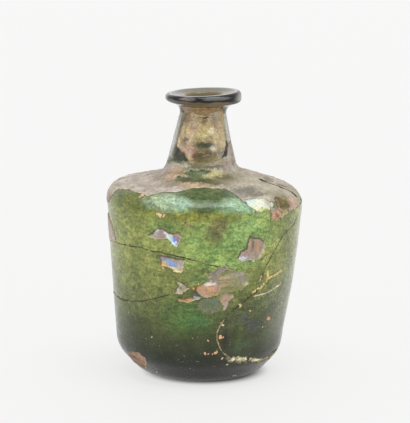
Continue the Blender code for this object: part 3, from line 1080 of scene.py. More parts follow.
neckCrustLook = {
    "raggedSize": 1.6, "raggedAmount": 3.0, "broad": 0.3, "fine": 1.05, "layered": 1.5, "dark": 0.4,
    "light": 1.62, "thinSize": 0.42, "thinFrom": 0.57, "thinShare": 0.6, "thinColour": (134, 112, 78),
    "pitSize": 2.0, "pitShare": 0.55, "pitColour": (96, 78, 50), "rough": (0.6, 0.9),
    # edge colours: lower edge painted light, upper edge painted shade, then a painted shadow line round the
    # edge
    "lowerEdge": (160, 138, 104), "upperEdge": (110, 86, 54), "edgeWidth": (1.0, 1.6), "edgeShare": 0.6,
    "edgeShadowShare": 0.5, "edgeShadowColour": (62, 46, 26),
}
neckCrustColours = [
    (0.0, (158, 134, 102)), (0.35, (184, 162, 124)), (0.65, (200, 180, 140)), (1.0, (212, 198, 162))]
neckCrustSpots = [
    (-40, 107.8, 4, 5, (146, 122, 100), 0.6, 0.8),
    (3, 108.4, 3.2, 0.9, (66, 48, 22), 0.5, 0.95),
    (1, 106.6, 2.2, 2.0, (128, 96, 50), 0.6, 0.7),
    (4, 104.5, 6, 3, (206, 188, 126), 0.6, 0.6),
    (-36, 97.5, 4, 2.4, (132, 120, 112), 0.6, 0.7),
    (8, 95.6, 15, 5, (128, 118, 84), 0.7, 0.5),
    (5, 97.4, 8.5, 3.0, (74, 74, 54), 0.55, 0.9),
    (-38, 95.2, 5, 2.6, (190, 150, 142), 0.6, 0.8),
    (-12, 93.6, 2.6, 4.4, (116, 60, 40), 0.5, 0.85),
    (6, 92.8, 9, 5.6, (70, 62, 30), 0.55, 0.9),
    (1, 94.6, 3, 0.7, (166, 152, 116), 0.6, 0.5),
    (11, 93.2, 3.4, 0.6, (170, 158, 124), 0.6, 0.5),
    (3, 91.6, 3, 0.6, (150, 136, 96), 0.6, 0.5),
    (38, 93.4, 4.4, 2.4, (116, 124, 130), 0.5, 0.8),
    (26, 96.5, 5, 3, (168, 158, 138), 0.6, 0.6),
    (30, 108.6, 4, 5, (168, 156, 148), 0.6, 0.6),
    (-20, 104, 4, 7, (200, 172, 150), 0.6, 0.5),
    (-24, 100, 4, 4, (204, 182, 168), 0.6, 0.5),
    (18, 103, 3, 2.4, (236, 224, 188), 0.5, 0.8),
    (-4, 101.6, 8, 1.6, (206, 194, 124), 0.6, 0.6),
    (-4, 99.6, 6, 2, (150, 138, 78), 0.6, 0.6),
    (-30, 102.8, 2.2, 2.6, (224, 196, 130), 0.5, 0.7),
    (-33, 99.4, 3, 1.6, (98, 76, 56), 0.5, 0.8),
    (8, 97.6, 6, 1.2, (62, 66, 46), 0.5, 0.8),
    (22, 96, 3, 1.6, (206, 200, 176), 0.5, 0.7),
    (-22, 95, 5, 4, (198, 160, 146), 0.6, 0.6),
    (0, 91.2, 7, 2.6, (92, 84, 44), 0.55, 0.8),
    (24, 91, 9, 3, (138, 128, 92), 0.6, 0.6),
]
bandLook = dict(
    # only faint painted light and shade on its edges
    neckCrustLook, layered=1.4, fine=0.9, edgeShare=0.1, edgeShadowShare=0.05, thinColour=(164, 130, 78),
    pitColour=(116, 90, 52))
bandColours = [(0.0, (124, 98, 58)), (0.4, (154, 126, 82)), (0.7, (174, 146, 100)), (1.0, (194, 168, 126))]
# the first spot, a paler strip along the band's top, is painted light that lifts the shade under the rim
bandSpots = [(0, 112.8, 40, 1.2, (196, 166, 116), 0.6, 0.7), (-46, 111.0, 8, 3, (166, 146, 136), 0.6, 0.7)]
neckCrustStuff = crustMaterial("neck_crust", neckCrustColours, neckCrustSpots, neckCrustLook)
for side in ("front", "back"):
    layOutline(
        "neck_crust_" + side, neckCrust[side + "Outline"], neckCrust[side + "At"], neckCrust["step"],
        0.7, 0.3, crustRise(neckCrust["thickness"], 0.7, 0.22, 0.5), 0.2, neckCrustStuff)


def bandMask(around, along, point):
    low, high = (alongAt(height) for height in neckCrust["bandHeights"])
    ragged = stray(point, 0.5, 0.9, 4)
    radius = sectionAt(along)[0]
    ends = -9.0
    for start, end in neckCrust["bandArcs"]:
        away = (around - start) % 360
        within = away < end - start
        ends = max(ends, math.radians(min(away, end - start - away)) * radius if within else -1.0)
    return min(along - low + ragged, high - along + 0.5 * ragged, ends + 0.8 * ragged)


layPatch(
    "brown_band_under_rim", steps(-180, 177.6, 2.4), steps(alongAt(108), alongAt(114), 0.4), bandMask,
    crustRise(0.16, 0.8, 0.1, 0.4), 0.15, crustMaterial("brown_band", bandColours, bandSpots, bandLook),
    closedRound=True)


# Scars where the outer film has flaked away, and flakes still sitting on the glass

scarRise = {"lip": 0.2, "bed": 0.07, "lipWidth": 0.7, "unevenness": 0.05, "least": 0.04}


def dished(inward, point):  # a raised torn edge round a lower bed
    lip = softly(inward, -0.1, 0.15) * (1 - softly(inward, 0.15, scarRise["lipWidth"]))
    bed = scarRise["bed"] + scarRise["lip"] * lip
    return max(scarRise["least"], bed + stray(point, 1.1, scarRise["unevenness"]))


scars = {
    "flake_scar_silver_upper": ((-21.8, 63.8), [
        (-9, -0.6), (-6, 1.4), (-4.6, 3), (-1.8, 3), (0.4, 1.6), (2.4, 1.4), (4.8, 2.2), (6.2, 0.4),
        (5.2, -1.8), (4, -4.6), (1.6, -2.8), (0, -1.2), (-3.8, -1.6), (-7.4, -2)]),
    "flake_scar_silver_lower": ((-19, 52.6), [
        (-5.6, 2.8), (-2, 2.8), (1.4, 2.4), (5.6, 2.2), (4.8, -1), (4.2, -3.6), (1.8, -3.4), (-0.4, -1.8),
        (-4.6, -1.4)]),
    "flake_scar_grey_small": ((-13.4, 42.8), [
        (-2.4, 3.8), (0, 2.6), (1.6, 1.6), (3.8, 0), (1.6, -1.6), (0, -2.6), (-2, -2.4), (-2.2, -0.8),
        (-1, 1)]),
    "flake_scar_brown": ((28.8, 59.5), [
        (-1, 5.6), (1.4, 4.6), (4, 4.4), (6.2, 2.6), (6.6, -1.6), (4.2, -4.4), (-0.6, -4.8), (-4, -5),
        (-6, -3.6), (-4.6, -0.6), (-2.2, 0.4), (-2, 2.2), (-1.6, 4)]),
    "flake_scar_orange": ((4, 42.9), [
        (-5.2, -0.4), (-4.4, 1.2), (-2.2, 2.2), (-0.8, 3.2), (0.4, 4.8), (-0.6, 6.6), (1.0, 7.2),
        (3.4, 6.4), (3.4, 3.4), (4.8, 1.8), (4.4, -1.2), (3.6, -2.6), (0.6, -3.2), (-0.8, -3.8),
        (-3.4, -2.6)]),
    "flake_scar_pink": ((15, 38.8), [
        (-3, 1.6), (-0.6, 2.4), (2.6, 2), (3, 0.4), (0.8, -1), (0.6, -3.8), (-0.6, -5), (-1.2, -2.6),
        (-2.6, -0.8)]),
    "flake_scar_top": ((9.5, 49.6), [(-4.4, -1.6), (-1.6, 1.2), (2.2, 3.2), (4.2, 2.6), (1.2, 0.2),
        (-1.8, -2.4)]),
    "flake_scar_blue_grey": ((-3.5, 39.2), [(-1.8, 1), (0.6, 1.1), (2, 0.2), (1, -1), (-1.4, -0.8)]),
    "flake_scar_fleck_right": ((38.5, 55.4), [(-1.3, -1.2), (0.8, 1.3), (1.4, 1.5), (1, 0), (-0.6, -1.5)]),
    "flake_scar_strip": ((-10.4, 38.2), [
        (-4, 0.8), (-1, 0.4), (2.8, 1.2), (4.2, 0), (1.4, -1.4), (-2.6, -0.9)]),
    "flake_scar_cream_left": ((-26.4, 72.3), [(-2.1, 1), (0, 1.1), (1.5, 0.4), (0.8, -0.6), (0.6, -1.6),
        (-0.6, -1)]),
    "flake_scar_cream_right": ((-24, 72.2), [(-0.2, 1.1), (1, 1), (0.8, 0), (0, -1.3), (-0.8, -0.3)]),
    # this shoulder patch is near white: the film's iridescent colour with a painted highlight
    "flake_scar_shoulder_highlight": ((35.5, 77.2), [
        (-5.6, 2.6), (0, 3), (6.4, 2.6), (7, -1), (4.4, -3.2), (2.2, -2.4), (-0.6, -3.4), (-3, -2.6),
        (-6, -0.4)]),
    "flake_scar_red_spot": ((-10.5, 69.8), [(-0.7, 0.5), (0.5, 0.6), (0.7, -0.5), (-0.5, -0.7)]),
}
scarLook = {
    "raggedSize": 1.5, "raggedAmount": 1.4, "broad": 0.6, "fine": 1.1, "layered": 1.0, "dark": 0.62,
    "light": 1.4, "thinSize": 0.8, "thinFrom": 0.56, "thinShare": 0.5, "thinColour": (118, 108, 84),
    "pitSize": 1.7, "pitShare": 0.5, "pitColour": (84, 70, 52), "rough": (0.25, 0.5),
    # edge colours: lower edge painted light, upper edge painted shade, then a painted shadow line round the
    # edge
    "lowerEdge": (232, 210, 156), "upperEdge": (66, 58, 22), "edgeWidth": (0.5, 0.8), "edgeShare": 0.75,
    "edgeShadowShare": 0.5, "edgeShadowColour": (78, 66, 30),
}
scarEdges = {  # how strongly the painted light, shade and shadow line on the edges show
    "crisp": {},
    "soft": {"edgeShare": 0.3, "edgeShadowShare": 0.05, "upperEdge": (110, 96, 56), "lowerEdge": (196, 164, 122)},
    "pale": {"edgeShare": 0.3, "edgeShadowShare": 0.1, "dark": 0.8, "light": 1.12},
}
softScars = {
    "flake_scar_orange": "soft", "flake_scar_pink": "soft", "flake_scar_top": "soft",
    "flake_scar_shoulder_highlight": "pale",
}
scarColours = [
    (0.0, (132, 112, 98)), (0.35, (156, 138, 124)), (0.65, (172, 158, 148)), (1.0, (196, 190, 186))]
scarSpots = [
    (-31.5, 63.8, 4, 4, (172, 180, 152), 0.6, 0.8),
    (-31.2, 65.4, 1.8, 1.4, (44, 74, 60), 0.5, 0.9),
    (-31.8, 64.0, 1.7, 1.2, (72, 88, 64), 0.5, 0.9),
    (-28, 65.6, 2.2, 1.8, (222, 226, 206), 0.5, 0.8),
    (-25.6, 63.8, 4, 4, (162, 142, 140), 0.6, 0.8),
    (-22.4, 65.0, 2.4, 1.4, (226, 228, 214), 0.5, 0.9),
    (-20.6, 63.6, 2.6, 2.2, (226, 238, 238), 0.5, 0.95),
    (-19.0, 62.4, 2.4, 2.2, (178, 222, 230), 0.5, 0.9),
    (-18.0, 60.8, 2.0, 2.4, (232, 240, 238), 0.5, 0.95),
    (-17.0, 62.4, 2.0, 2.2, (106, 132, 220), 0.5, 0.9),
    (-16.4, 60.0, 2.4, 2.2, (170, 226, 240), 0.5, 0.9),
    (-15.0, 61.8, 2.2, 3.0, (142, 128, 148), 0.6, 0.85),
    (-16.4, 65.2, 3.6, 1.6, (200, 146, 112), 0.5, 0.85),
    (-21.4, 53.2, 4.4, 2.4, (156, 182, 218), 0.6, 0.9),
    (-17.8, 52.2, 4.4, 2.6, (138, 160, 214), 0.6, 0.9),
    (-24.0, 54.2, 3, 2, (146, 146, 156), 0.6, 0.8),
    (-14.2, 52.6, 3, 5, (182, 172, 158), 0.6, 0.85),
    (-24.2, 51.6, 3.4, 3.0, (230, 182, 112), 0.5, 0.9),
    (-20.6, 50.6, 6, 1.3, (246, 234, 168), 0.5, 0.95),
    (-16.6, 49.4, 4.4, 1.6, (244, 236, 176), 0.5, 0.95),
    (-15, 43.8, 4, 5, (206, 202, 164), 0.6, 0.85),
    (-11, 42.4, 3, 2.4, (172, 160, 130), 0.6, 0.8),
    (-13.4, 42.8, 1.4, 1.2, (112, 106, 80), 0.5, 0.8),
    (4, 42.2, 8, 5.4, (206, 156, 114), 0.7, 0.85),
    (6.5, 41, 5, 2, (150, 138, 92), 0.6, 0.6),
    (-3, 43.8, 2.8, 2.4, (214, 144, 70), 0.5, 0.9),
    (3.6, 45.1, 5.6, 1.5, (236, 220, 206), 0.4, 0.9),
    (7, 47.4, 3, 1.4, (126, 108, 98), 0.5, 0.8),
    (2.6, 48.8, 4.4, 2.4, (196, 168, 140), 0.6, 0.8),
    (15, 38.8, 7, 4, (178, 148, 118), 0.6, 0.8),
    (12.5, 34, 2.2, 4, (206, 186, 150), 0.5, 0.8),
    (9.5, 49.6, 9, 6, (138, 132, 126), 0.6, 0.7),
    (-3.5, 39.2, 5, 3, (160, 170, 176), 0.6, 0.85),
    (38.5, 55.4, 4, 4, (214, 212, 150), 0.6, 0.9),
    (-13, 38, 5, 2, (180, 128, 72), 0.5, 0.9),
    (-8, 38.4, 3, 2, (216, 156, 90), 0.5, 0.9),
    (29, 60, 9, 8, (154, 132, 108), 0.6, 0.8),
    (26.6, 61.4, 2.6, 4.4, (182, 162, 134), 0.6, 0.8),
    (29.6, 61, 1.6, 4.6, (124, 96, 68), 0.5, 0.75),
    (33, 60.4, 2, 5.4, (184, 144, 108), 0.6, 0.8),
    (27, 57.4, 9, 1.8, (166, 144, 134), 0.6, 0.8),
    (25.6, 56, 4, 1.2, (184, 166, 182), 0.5, 0.8),
    (23, 55.6, 3.4, 1.6, (214, 226, 236), 0.5, 0.9),
    (37.4, 57, 1.6, 6, (206, 186, 140), 0.5, 0.9),
    (23, 63.4, 3, 3, (84, 70, 50), 0.5, 0.8),
    (-26, 72.3, 5, 3, (236, 206, 144), 0.6, 0.9),
    # white and teal on the open shoulder patch: the film's colour with a painted highlight
    (35.5, 77.2, 15, 7, (226, 228, 206), 0.5, 0.95),
    (29, 78.4, 6, 3.0, (190, 220, 212), 0.6, 0.8),
    (29.5, 75.4, 5, 2.4, (232, 218, 178), 0.6, 0.8),
    (37.5, 74.9, 6, 1.8, (190, 200, 92), 0.5, 0.85),
    (42, 77.4, 3.4, 6, (168, 168, 152), 0.6, 0.85),
    (36, 80, 14, 1.2, (176, 184, 180), 0.6, 0.7),
    (-10.5, 69.8, 2.4, 2.4, (120, 74, 60), 0.5, 0.9),
]
scarStuff = {kind: crustMaterial("flake_scar_" + kind, scarColours, scarSpots, scarLook | edges)
             for kind, edges in scarEdges.items()}
for name, (at, outline) in scars.items():
    stuff = scarStuff[softScars.get(name, "crisp")]
    layOutline(name, outline, at, 0.36, 0.34, 0.34, dished, 0.18, stuff)


# Thin films: the streaked one beside the orange scar, and the green disc under it

films = {
    "film_streaked": ((17, 46.6), [
        (-7.6, 2.2), (-5, 3.6), (-1, 4.4), (4, 3.8), (8, 1.6), (8.4, -1.6), (5, -4.4), (0, -5.2), (-4, -5),
        (-6.6, -1.5)]),
    "film_disc_green": ((5, 36), [
        (-4.2, 1.4), (-2.4, 3), (0.6, 3.2), (3.4, 2.4), (4.6, 0), (3.6, -2.6), (0.6, -3.6), (-2.6, -3),
        (-4.2, -1.2)]),
}
filmLooks = {
    "film_streaked": (
        [(0.0, (112, 116, 66)), (0.4, (138, 138, 84)), (0.6, (152, 146, 110)), (1.0, (160, 152, 132))],
        [(28, 44.6, 4, 2, (196, 186, 140), 0.5, 0.7), (22, 49.3, 6, 2.0, (160, 156, 152), 0.6, 0.7),
         (12, 47.6, 9, 1.0, (200, 172, 134), 0.5, 0.75), (17, 42, 10, 3, (136, 134, 74), 0.6, 0.6),
         (13, 46.2, 9, 0.8, (182, 154, 120), 0.5, 0.75), (19, 48.5, 9, 0.7, (180, 164, 138), 0.5, 0.7),
         (11, 44.6, 7, 1.2, (192, 160, 122), 0.5, 0.7), (15, 43.6, 8, 0.8, (112, 122, 66), 0.5, 0.75),
         (24, 46.8, 4, 1.6, (146, 140, 134), 0.5, 0.7), (16, 50, 9, 0.9, (116, 122, 60), 0.5, 0.7)],
        # faint painted light and shade on the edges
        dict(scarLook, broad=0.5, fine=0.9, layered=5.0, raggedAmount=2.0, dark=0.5, light=1.56,
             thinFrom=0.51, thinShare=0.7, thinColour=(110, 118, 62), edgeShare=0.1, edgeShadowShare=0.05,
             upperEdge=(120, 112, 66), lowerEdge=(150, 142, 92)),
    ),
    "film_disc_green": (
        [(0.0, (92, 98, 66)), (0.4, (104, 110, 78)), (0.7, (116, 120, 92)), (1.0, (132, 130, 104))],
        [(5, 36.6, 5, 4, (96, 112, 80), 0.6, 0.6), (8, 37.6, 3, 2, (108, 132, 112), 0.6, 0.7)],
        # faint painted light and shade on the edges
        dict(scarLook, broad=0.5, layered=2.0, edgeShare=0.2, edgeShadowShare=0.05, edgeWidth=(0.9, 0.5),
             upperEdge=(112, 112, 84), lowerEdge=(132, 134, 98)),
    ),
}
for name, (at, outline) in films.items():
    stuff = crustMaterial(name, *filmLooks[name])
    layOutline(name, outline, at, 0.4, 0.6, 0.4, crustRise(0.045, 0.9, 0.02, 0.4), 0.18, stuff)

flakes = {
    "crust_patch_heel": ((-54, 8.2), 0.26, [(-4, 4), (4.4, 5.4), (7.4, 3.4), (6.2, 0), (1, -5), (-5.4, -5.4),
        (-8.2, -3)]),
    "crust_sliver_left": ((-74, 59.4), 0.4, [(-7, 7), (1, 3.4), (3.4, 0), (4.8, -3.4), (-6, -4.6), (-8, 0)]),
    "crust_knot_olive": ((54, 76), 1.0, [(-3.4, 3.4), (0, 4), (3, 3), (4.8, 0.6), (3, -2.4), (-1.4, -3.6),
        (-5, -2)]),
    "crust_knot_brown_low": ((45.6, 72.4), 0.8, [(-2.8, 1.8), (1, 2.2), (3, 1.4), (2.4, -1.2), (-0.4, -2.2),
        (-2.8, -1.2)]),
    "crust_knot_yellow_low": ((53, 72.9), 0.6, [(-2.4, 1.2), (0.4, 1.6), (2.8, 0.8), (2.2, -0.8),
        (-0.6, -1.4), (-2.2, -0.8)]),
    "crust_knot_pink_right": ((66, 75.4), 0.4, [(-2.8, 1.4), (-1.2, 3.2), (1.4, 3.4), (3.2, 1.2), (2.8, -1.4),
        (0.6, -2.8), (-2.2, -2.2)]),
    "crust_fleck_shoulder": ((-42.4, 78.2), 0.45, [(-1, 0.8), (0.4, 1.1), (0.9, 0), (0, -0.9), (-0.9, -0.4)]),
    "crust_chip_right": ((50, 28.6), 0.3, [(-0.6, 1.9), (1.9, -1.4), (-0.2, -0.8), (-1.6, -0.9)]),
    "crust_patch_back_left": ((150, 62), 0.3, [(-6, 3), (-1, 5), (5, 3), (6.5, -2), (2, -5), (-4, -3)]),
    "crust_patch_back_low": ((-140, 30), 0.3, [(-7, 2), (-2, 4), (4, 3.4), (7, -1), (1, -3.6), (-5, -3)]),
    "crust_patch_back_heel": ((112, 12), 0.3, [(-5, 2), (0, 4), (6, 1), (3, -3), (-4, -3.4)]),
    "crust_patch_side": ((-118, 48), 0.28, [(-3, 5), (2, 4), (3.4, 0), (1, -4.6), (-3, -3)]),
}
# edges keep the painted light, shade and shadow line of the shoulder crust
flakeLook = dict(shoulderLook, raggedSize=1.6, raggedAmount=2.4, layered=1.2, dark=0.56, light=1.4,
                 thinFrom=0.53, thinShare=0.75, thinColour=(112, 104, 74), edgeShare=0.4, edgeShadowShare=0.5)
flakeColours = [
    (0.0, (128, 100, 76)), (0.35, (160, 128, 104)), (0.65, (184, 156, 134)), (1.0, (204, 188, 166))]
flakeSpots = [
    (-54, 8.2, 13, 9, (140, 110, 88), 0.6, 0.75),
    (-48, 10.6, 6, 1.6, (182, 140, 114), 0.5, 0.8),
    (-56, 9.4, 6, 1.4, (96, 84, 62), 0.5, 0.7),
    (-50, 5.6, 6, 2.2, (92, 82, 68), 0.6, 0.7),
    (-60, 6.6, 5, 1.2, (100, 84, 68), 0.5, 0.6),
    (-75, 60, 12, 14, (196, 182, 172), 0.6, 0.9),
    (53.5, 76.4, 8, 6, (92, 86, 32), 0.6, 0.9),
    (50.5, 78.2, 3.4, 2, (62, 56, 16), 0.5, 0.85),
    (49.8, 75.2, 2, 3.6, (72, 64, 20), 0.5, 0.85),
    (57.2, 74, 2.4, 3.4, (68, 58, 24), 0.5, 0.85),
    (53.0, 75.6, 1.2, 3.4, (176, 166, 106), 0.5, 0.8),
    (55.4, 78, 3.4, 1.0, (160, 152, 96), 0.5, 0.8),
    (45.6, 72.4, 7, 4.6, (196, 154, 122), 0.6, 0.9),
    (45.2, 72.3, 2.6, 1.6, (130, 74, 44), 0.6, 0.85),
    (53, 72.9, 5, 2.8, (180, 174, 116), 0.6, 0.9),
    (66, 75.4, 7, 8, (194, 162, 140), 0.6, 0.85),
    (62, 74.8, 2.4, 3, (146, 90, 62), 0.6, 0.8),
    (-42.4, 78.2, 2, 2, (222, 196, 140), 0.6, 0.9),
    (50, 28.6, 4, 4, (222, 176, 138), 0.6, 0.9),
]
flakeStuff = crustMaterial("crust_flake", flakeColours, flakeSpots, flakeLook)
for name, (at, thick, outline) in flakes.items():
    layOutline(name, outline, at, 0.36, 0.5, 0.3, crustRise(thick, 0.7, thick * 0.45, 0.5), 0.2, flakeStuff)


# Lime deposit along the crack over the heel

heelDeposit = {
    "arounds": (14, 84),  # degrees and heights within which it is cut
    "reach": (4.5, 17.5),
    "steps": (0.6, 0.36),
    "route": [  # degrees round, height
        (20, 13.2), (26, 12.2), (34, 11.4), (45, 10.2), (56, 9.4), (64, 10.2), (70, 11.6),
    ],
    "halfWidth": 1.2,
    "thickness": 0.28,
}


def ribbonMask(route, halfWidth, coarse, fine):
    line = [(around, alongAt(height)) for around, height in route]

    def mask(around, along, point):
        radius = sectionAt(along)[0]
        nearest = 1e9
        for (a0, s0), (a1, s1) in zip(line, line[1:]):
            x0, x1 = math.radians(a0 - around) * radius, math.radians(a1 - around) * radius
            dx, ds = x1 - x0, s1 - s0
            t = clamped((-x0 * dx + (along - s0) * ds) / (dx * dx + ds * ds))
            nearest = min(nearest, math.hypot(x0 + t * dx, s0 + t * ds - along))
        return halfWidth - nearest + stray(point, 0.4, coarse) + stray(point, 1.7, fine)
    return mask


# edges with painted light, shade and a shadow line, as on the flakes
depositLook = dict(
    flakeLook, broad=0.6, dark=0.5, light=1.6, thinSize=0.5, thinColour=(84, 84, 62), thinFrom=0.5,
    thinShare=0.9, layered=1.8, lowerEdge=(116, 108, 82), upperEdge=(108, 102, 76), edgeShare=0.6,
    edgeShadowShare=0.3)
depositColours = [
    (0.0, (112, 104, 78)), (0.35, (142, 132, 100)), (0.65, (166, 156, 120)), (1.0, (196, 186, 146))]
depositSpots = [
    (25, 12.6, 3, 2, (214, 200, 160), 0.6, 0.8), (28, 12.8, 7, 1.5, (250, 244, 206), 0.5, 0.9),
    (37, 11.9, 7, 1.5, (250, 246, 208), 0.5, 0.9), (46, 11.0, 7, 1.5, (244, 240, 200), 0.5, 0.9),
    (54, 10.5, 6, 1.3, (236, 228, 190), 0.5, 0.9),
    (68, 11.2, 14, 6, (138, 130, 110), 0.7, 0.85), (30, 11.2, 8, 1, (140, 128, 92), 0.6, 0.6),
]
layPatch(
    "heel_deposit", steps(*heelDeposit["arounds"], heelDeposit["steps"][0]),
    steps(*(alongAt(height) for height in heelDeposit["reach"]), heelDeposit["steps"][1]),
    ribbonMask(heelDeposit["route"], heelDeposit["halfWidth"], 1.2, 1.0),
    crustRise(heelDeposit["thickness"], 1.1, 0.3, 0.4), 0.2,
    crustMaterial("heel_deposit", depositColours, depositSpots, depositLook),
)


# Specks of crust and film left on the glass: Geometry Nodes set a small flat blob on each place

specks = [  # degrees round, height, size in millimetres, colour
    (-33.5, 20.5, 0.45, (196, 190, 150)), (5.5, 21, 0.5, (206, 160, 110)),
    (13.5, 22.5, 0.95, (236, 166, 104)),
    (15.2, 22.3, 0.6, (222, 132, 84)), (14.5, 27.6, 0.6, (226, 206, 168)), (13.4, 28.4, 0.5, (120, 84, 50)),
    (4, 15.5, 0.7, (216, 136, 74)), (6.2, 15.3, 0.5, (186, 96, 54)), (11, 15.7, 0.8, (226, 148, 106)),
    (12, 16.3, 0.5, (206, 116, 80)), (9, 15.2, 0.4, (196, 110, 70)), (16, 13.2, 0.6, (196, 170, 160)),
    (20.5, 10.2, 0.6, (150, 156, 150)), (32.5, 3.4, 0.6, (128, 130, 126)), (30.5, 3.3, 0.5, (120, 122, 118)),
    (25, 35.5, 0.75, (196, 190, 116)), (24.4, 36.2, 0.5, (214, 200, 140)), (32.5, 33, 0.5, (206, 200, 126)),
    (33, 41, 0.6, (226, 196, 120)), (34.4, 41.4, 0.7, (232, 206, 130)), (36.5, 42.3, 0.7, (236, 206, 120)),
    (39, 42.9, 0.7, (232, 186, 104)), (40.5, 44, 0.55, (240, 214, 130)), (43, 48, 0.8, (236, 212, 136)),
    (43.4, 49.2, 0.5, (226, 176, 96)), (49.5, 46.5, 0.4, (214, 186, 120)), (52, 47.2, 0.45, (210, 180, 116)),
    (37.5, 46, 0.8, (170, 104, 76)), (38.2, 47.2, 0.6, (180, 116, 84)), (53.5, 41.6, 0.5, (216, 196, 150)),
    (57.5, 43, 0.45, (206, 184, 140)), (45.5, 25, 0.4, (170, 168, 120)), (54.5, 36, 0.35, (190, 176, 140)),
    (-40, 4.2, 0.6, (206, 150, 120)), (-42, 5.2, 0.4, (190, 120, 84)), (-54.5, 28.5, 0.35, (160, 150, 110)),
    (31.5, 70.6, 0.45, (178, 184, 126)), (36, 75.8, 0.5, (60, 66, 20)), (31, 54.3, 0.6, (206, 214, 150)),
    (24, 56, 0.8, (214, 222, 230)), (22.6, 57.2, 0.4, (150, 176, 206)), (-16.6, 61.6, 0.6, (236, 242, 246)),
    (-19.5, 60.6, 0.4, (206, 226, 240)), (-17.5, 49.6, 0.5, (244, 238, 206)),
    (-24.6, 50.2, 0.5, (240, 196, 110)),
    (-28.4, 72.8, 0.5, (244, 214, 156)), (-24.3, 72.9, 0.4, (240, 200, 140)),
    (-43.5, 77.6, 0.5, (236, 206, 150)),
    (-41.8, 77.0, 0.4, (96, 78, 40)), (-9, 69.4, 0.6, (128, 84, 60)), (-10.2, 70.6, 0.4, (150, 104, 74)),
    (1.6, 49.4, 0.5, (196, 118, 44)), (-5.5, 42.9, 0.5, (232, 156, 66)), (-2.6, 44.9, 0.4, (240, 190, 100)),
    (27.5, 44.6, 0.6, (214, 204, 160)), (50.5, 27.6, 0.45, (214, 148, 112)), (118, 55, 0.7, (196, 160, 110)),
    (160, 40, 0.8, (206, 176, 126)), (-160, 66, 0.7, (190, 150, 104)), (-128, 22, 0.6, (214, 186, 136)),
    (92, 30, 0.6, (206, 170, 120)), (-100, 64, 0.6, (196, 176, 130)), (175, 20, 0.7, (180, 140, 96)),
]


def setChips(tree, points, rotation, spin, size, narrow, flatness, subdivisions):
    # a small blob on each point, turned about its own upright, made real
    spun = first(tree, "FunctionNodeAxisAngleToRotation", {"Axis": (0, 0, 1), "Angle": spin})
    turned = first(tree, "FunctionNodeRotateRotation", {0: rotation, 1: spun}, rotation_space="LOCAL")
    scale = first(tree, "ShaderNodeCombineXYZ", {
        "X": size, "Y": times(tree, size, narrow), "Z": times(tree, size, flatness)})
    blob = first(tree, "GeometryNodeMeshIcoSphere", {"Radius": 1.0, "Subdivisions": subdivisions})
    placed = first(tree, "GeometryNodeInstanceOnPoints", {
        "Points": points, "Instance": blob, "Rotation": turned, "Scale": scale})
    return first(tree, "GeometryNodeRealizeInstances", {0: placed})


def speckTree():
    tree, asked, result = newGroup("specks", "GeometryNodeTree", {
        "Places": "Geometry", "Flatness": 0.4, "Narrowness": 0.66, "Grain": 1500.0, "Roughness": 0.0003,
        "Stuff": "Material"}, {"Specks": "Geometry"})
    outward = {"Vector": named(tree, "FLOAT_VECTOR", "out")}
    upright = first(tree, "FunctionNodeAlignRotationToVector", outward, axis="Z")
    size, spin = named(tree, "FLOAT", "size"), named(tree, "FLOAT", "spin")
    chips = setChips(tree, asked["Places"], upright, spin, size, asked["Narrowness"], asked["Flatness"], 3)
    position = first(tree, "GeometryNodeInputPosition")
    waves = grain(tree, position, asked["Grain"], 2.0, 0.5, output="Color")
    push = scaled(tree, vectorCalc(tree, "SUBTRACT", waves, (0.5, 0.5, 0.5)), asked["Roughness"])
    rough = first(tree, "GeometryNodeSetPosition", {"Geometry": chips, "Offset": push})
    return closeTree(tree, result, rough, asked["Stuff"])


def speckMaterial():
    material, tree, shader = newMaterial("glass_specks")
    place, _ = raggedPlace(tree, 2.0, 1.0)
    tint = addNode(tree, "ShaderNodeAttribute", attribute_name="tint").outputs["Color"]
    shade = span(tree, grain(tree, place, 2.0, 3.0), 0.3, 0.7, 0.75, 1.15, smooth=False)
    tint = blend(tree, 0.4, tint, paint(216, 198, 160))
    feed(tree, shader, {"Base Color": toned(tree, tint, shade), "Roughness": 0.55})
    return material


settled = [onGlass(around, alongAt(height)) for around, height, _, _ in specks]
speckMesh = bpy.data.meshes.new("glass_specks")
speckMesh.from_pydata([(here + out * 0.03) * mm for here, out in settled], [], [])
for label, kind, field, numbers in (
    ("out", "FLOAT_VECTOR", "vector", [value for _, out in settled for value in out]),
    ("size", "FLOAT", "value", [size * mm for _, _, size, _ in specks]),
    ("spin", "FLOAT", "value", [2.4 * k for k in range(len(specks))]),
    ("tint", "FLOAT_COLOR", "color", [value for _, _, _, tint in specks for value in paint(*tint)]),
):
    speckMesh.attributes.new(label, kind, "POINT").data.foreach_set(field, numbers)
settle(growWith(speckTree(), newObject("glass_specks", speckMesh), {
    "Narrowness": 0.66, "Flatness": 0.36, "Grain": 1500.0, "Roughness": 0.34 * mm, "Stuff": speckMaterial(),
}, "glass_specks"))
print("specks set:", len(specks))


# Healed cracks: Geometry Nodes draw a seam of uneven width along each one

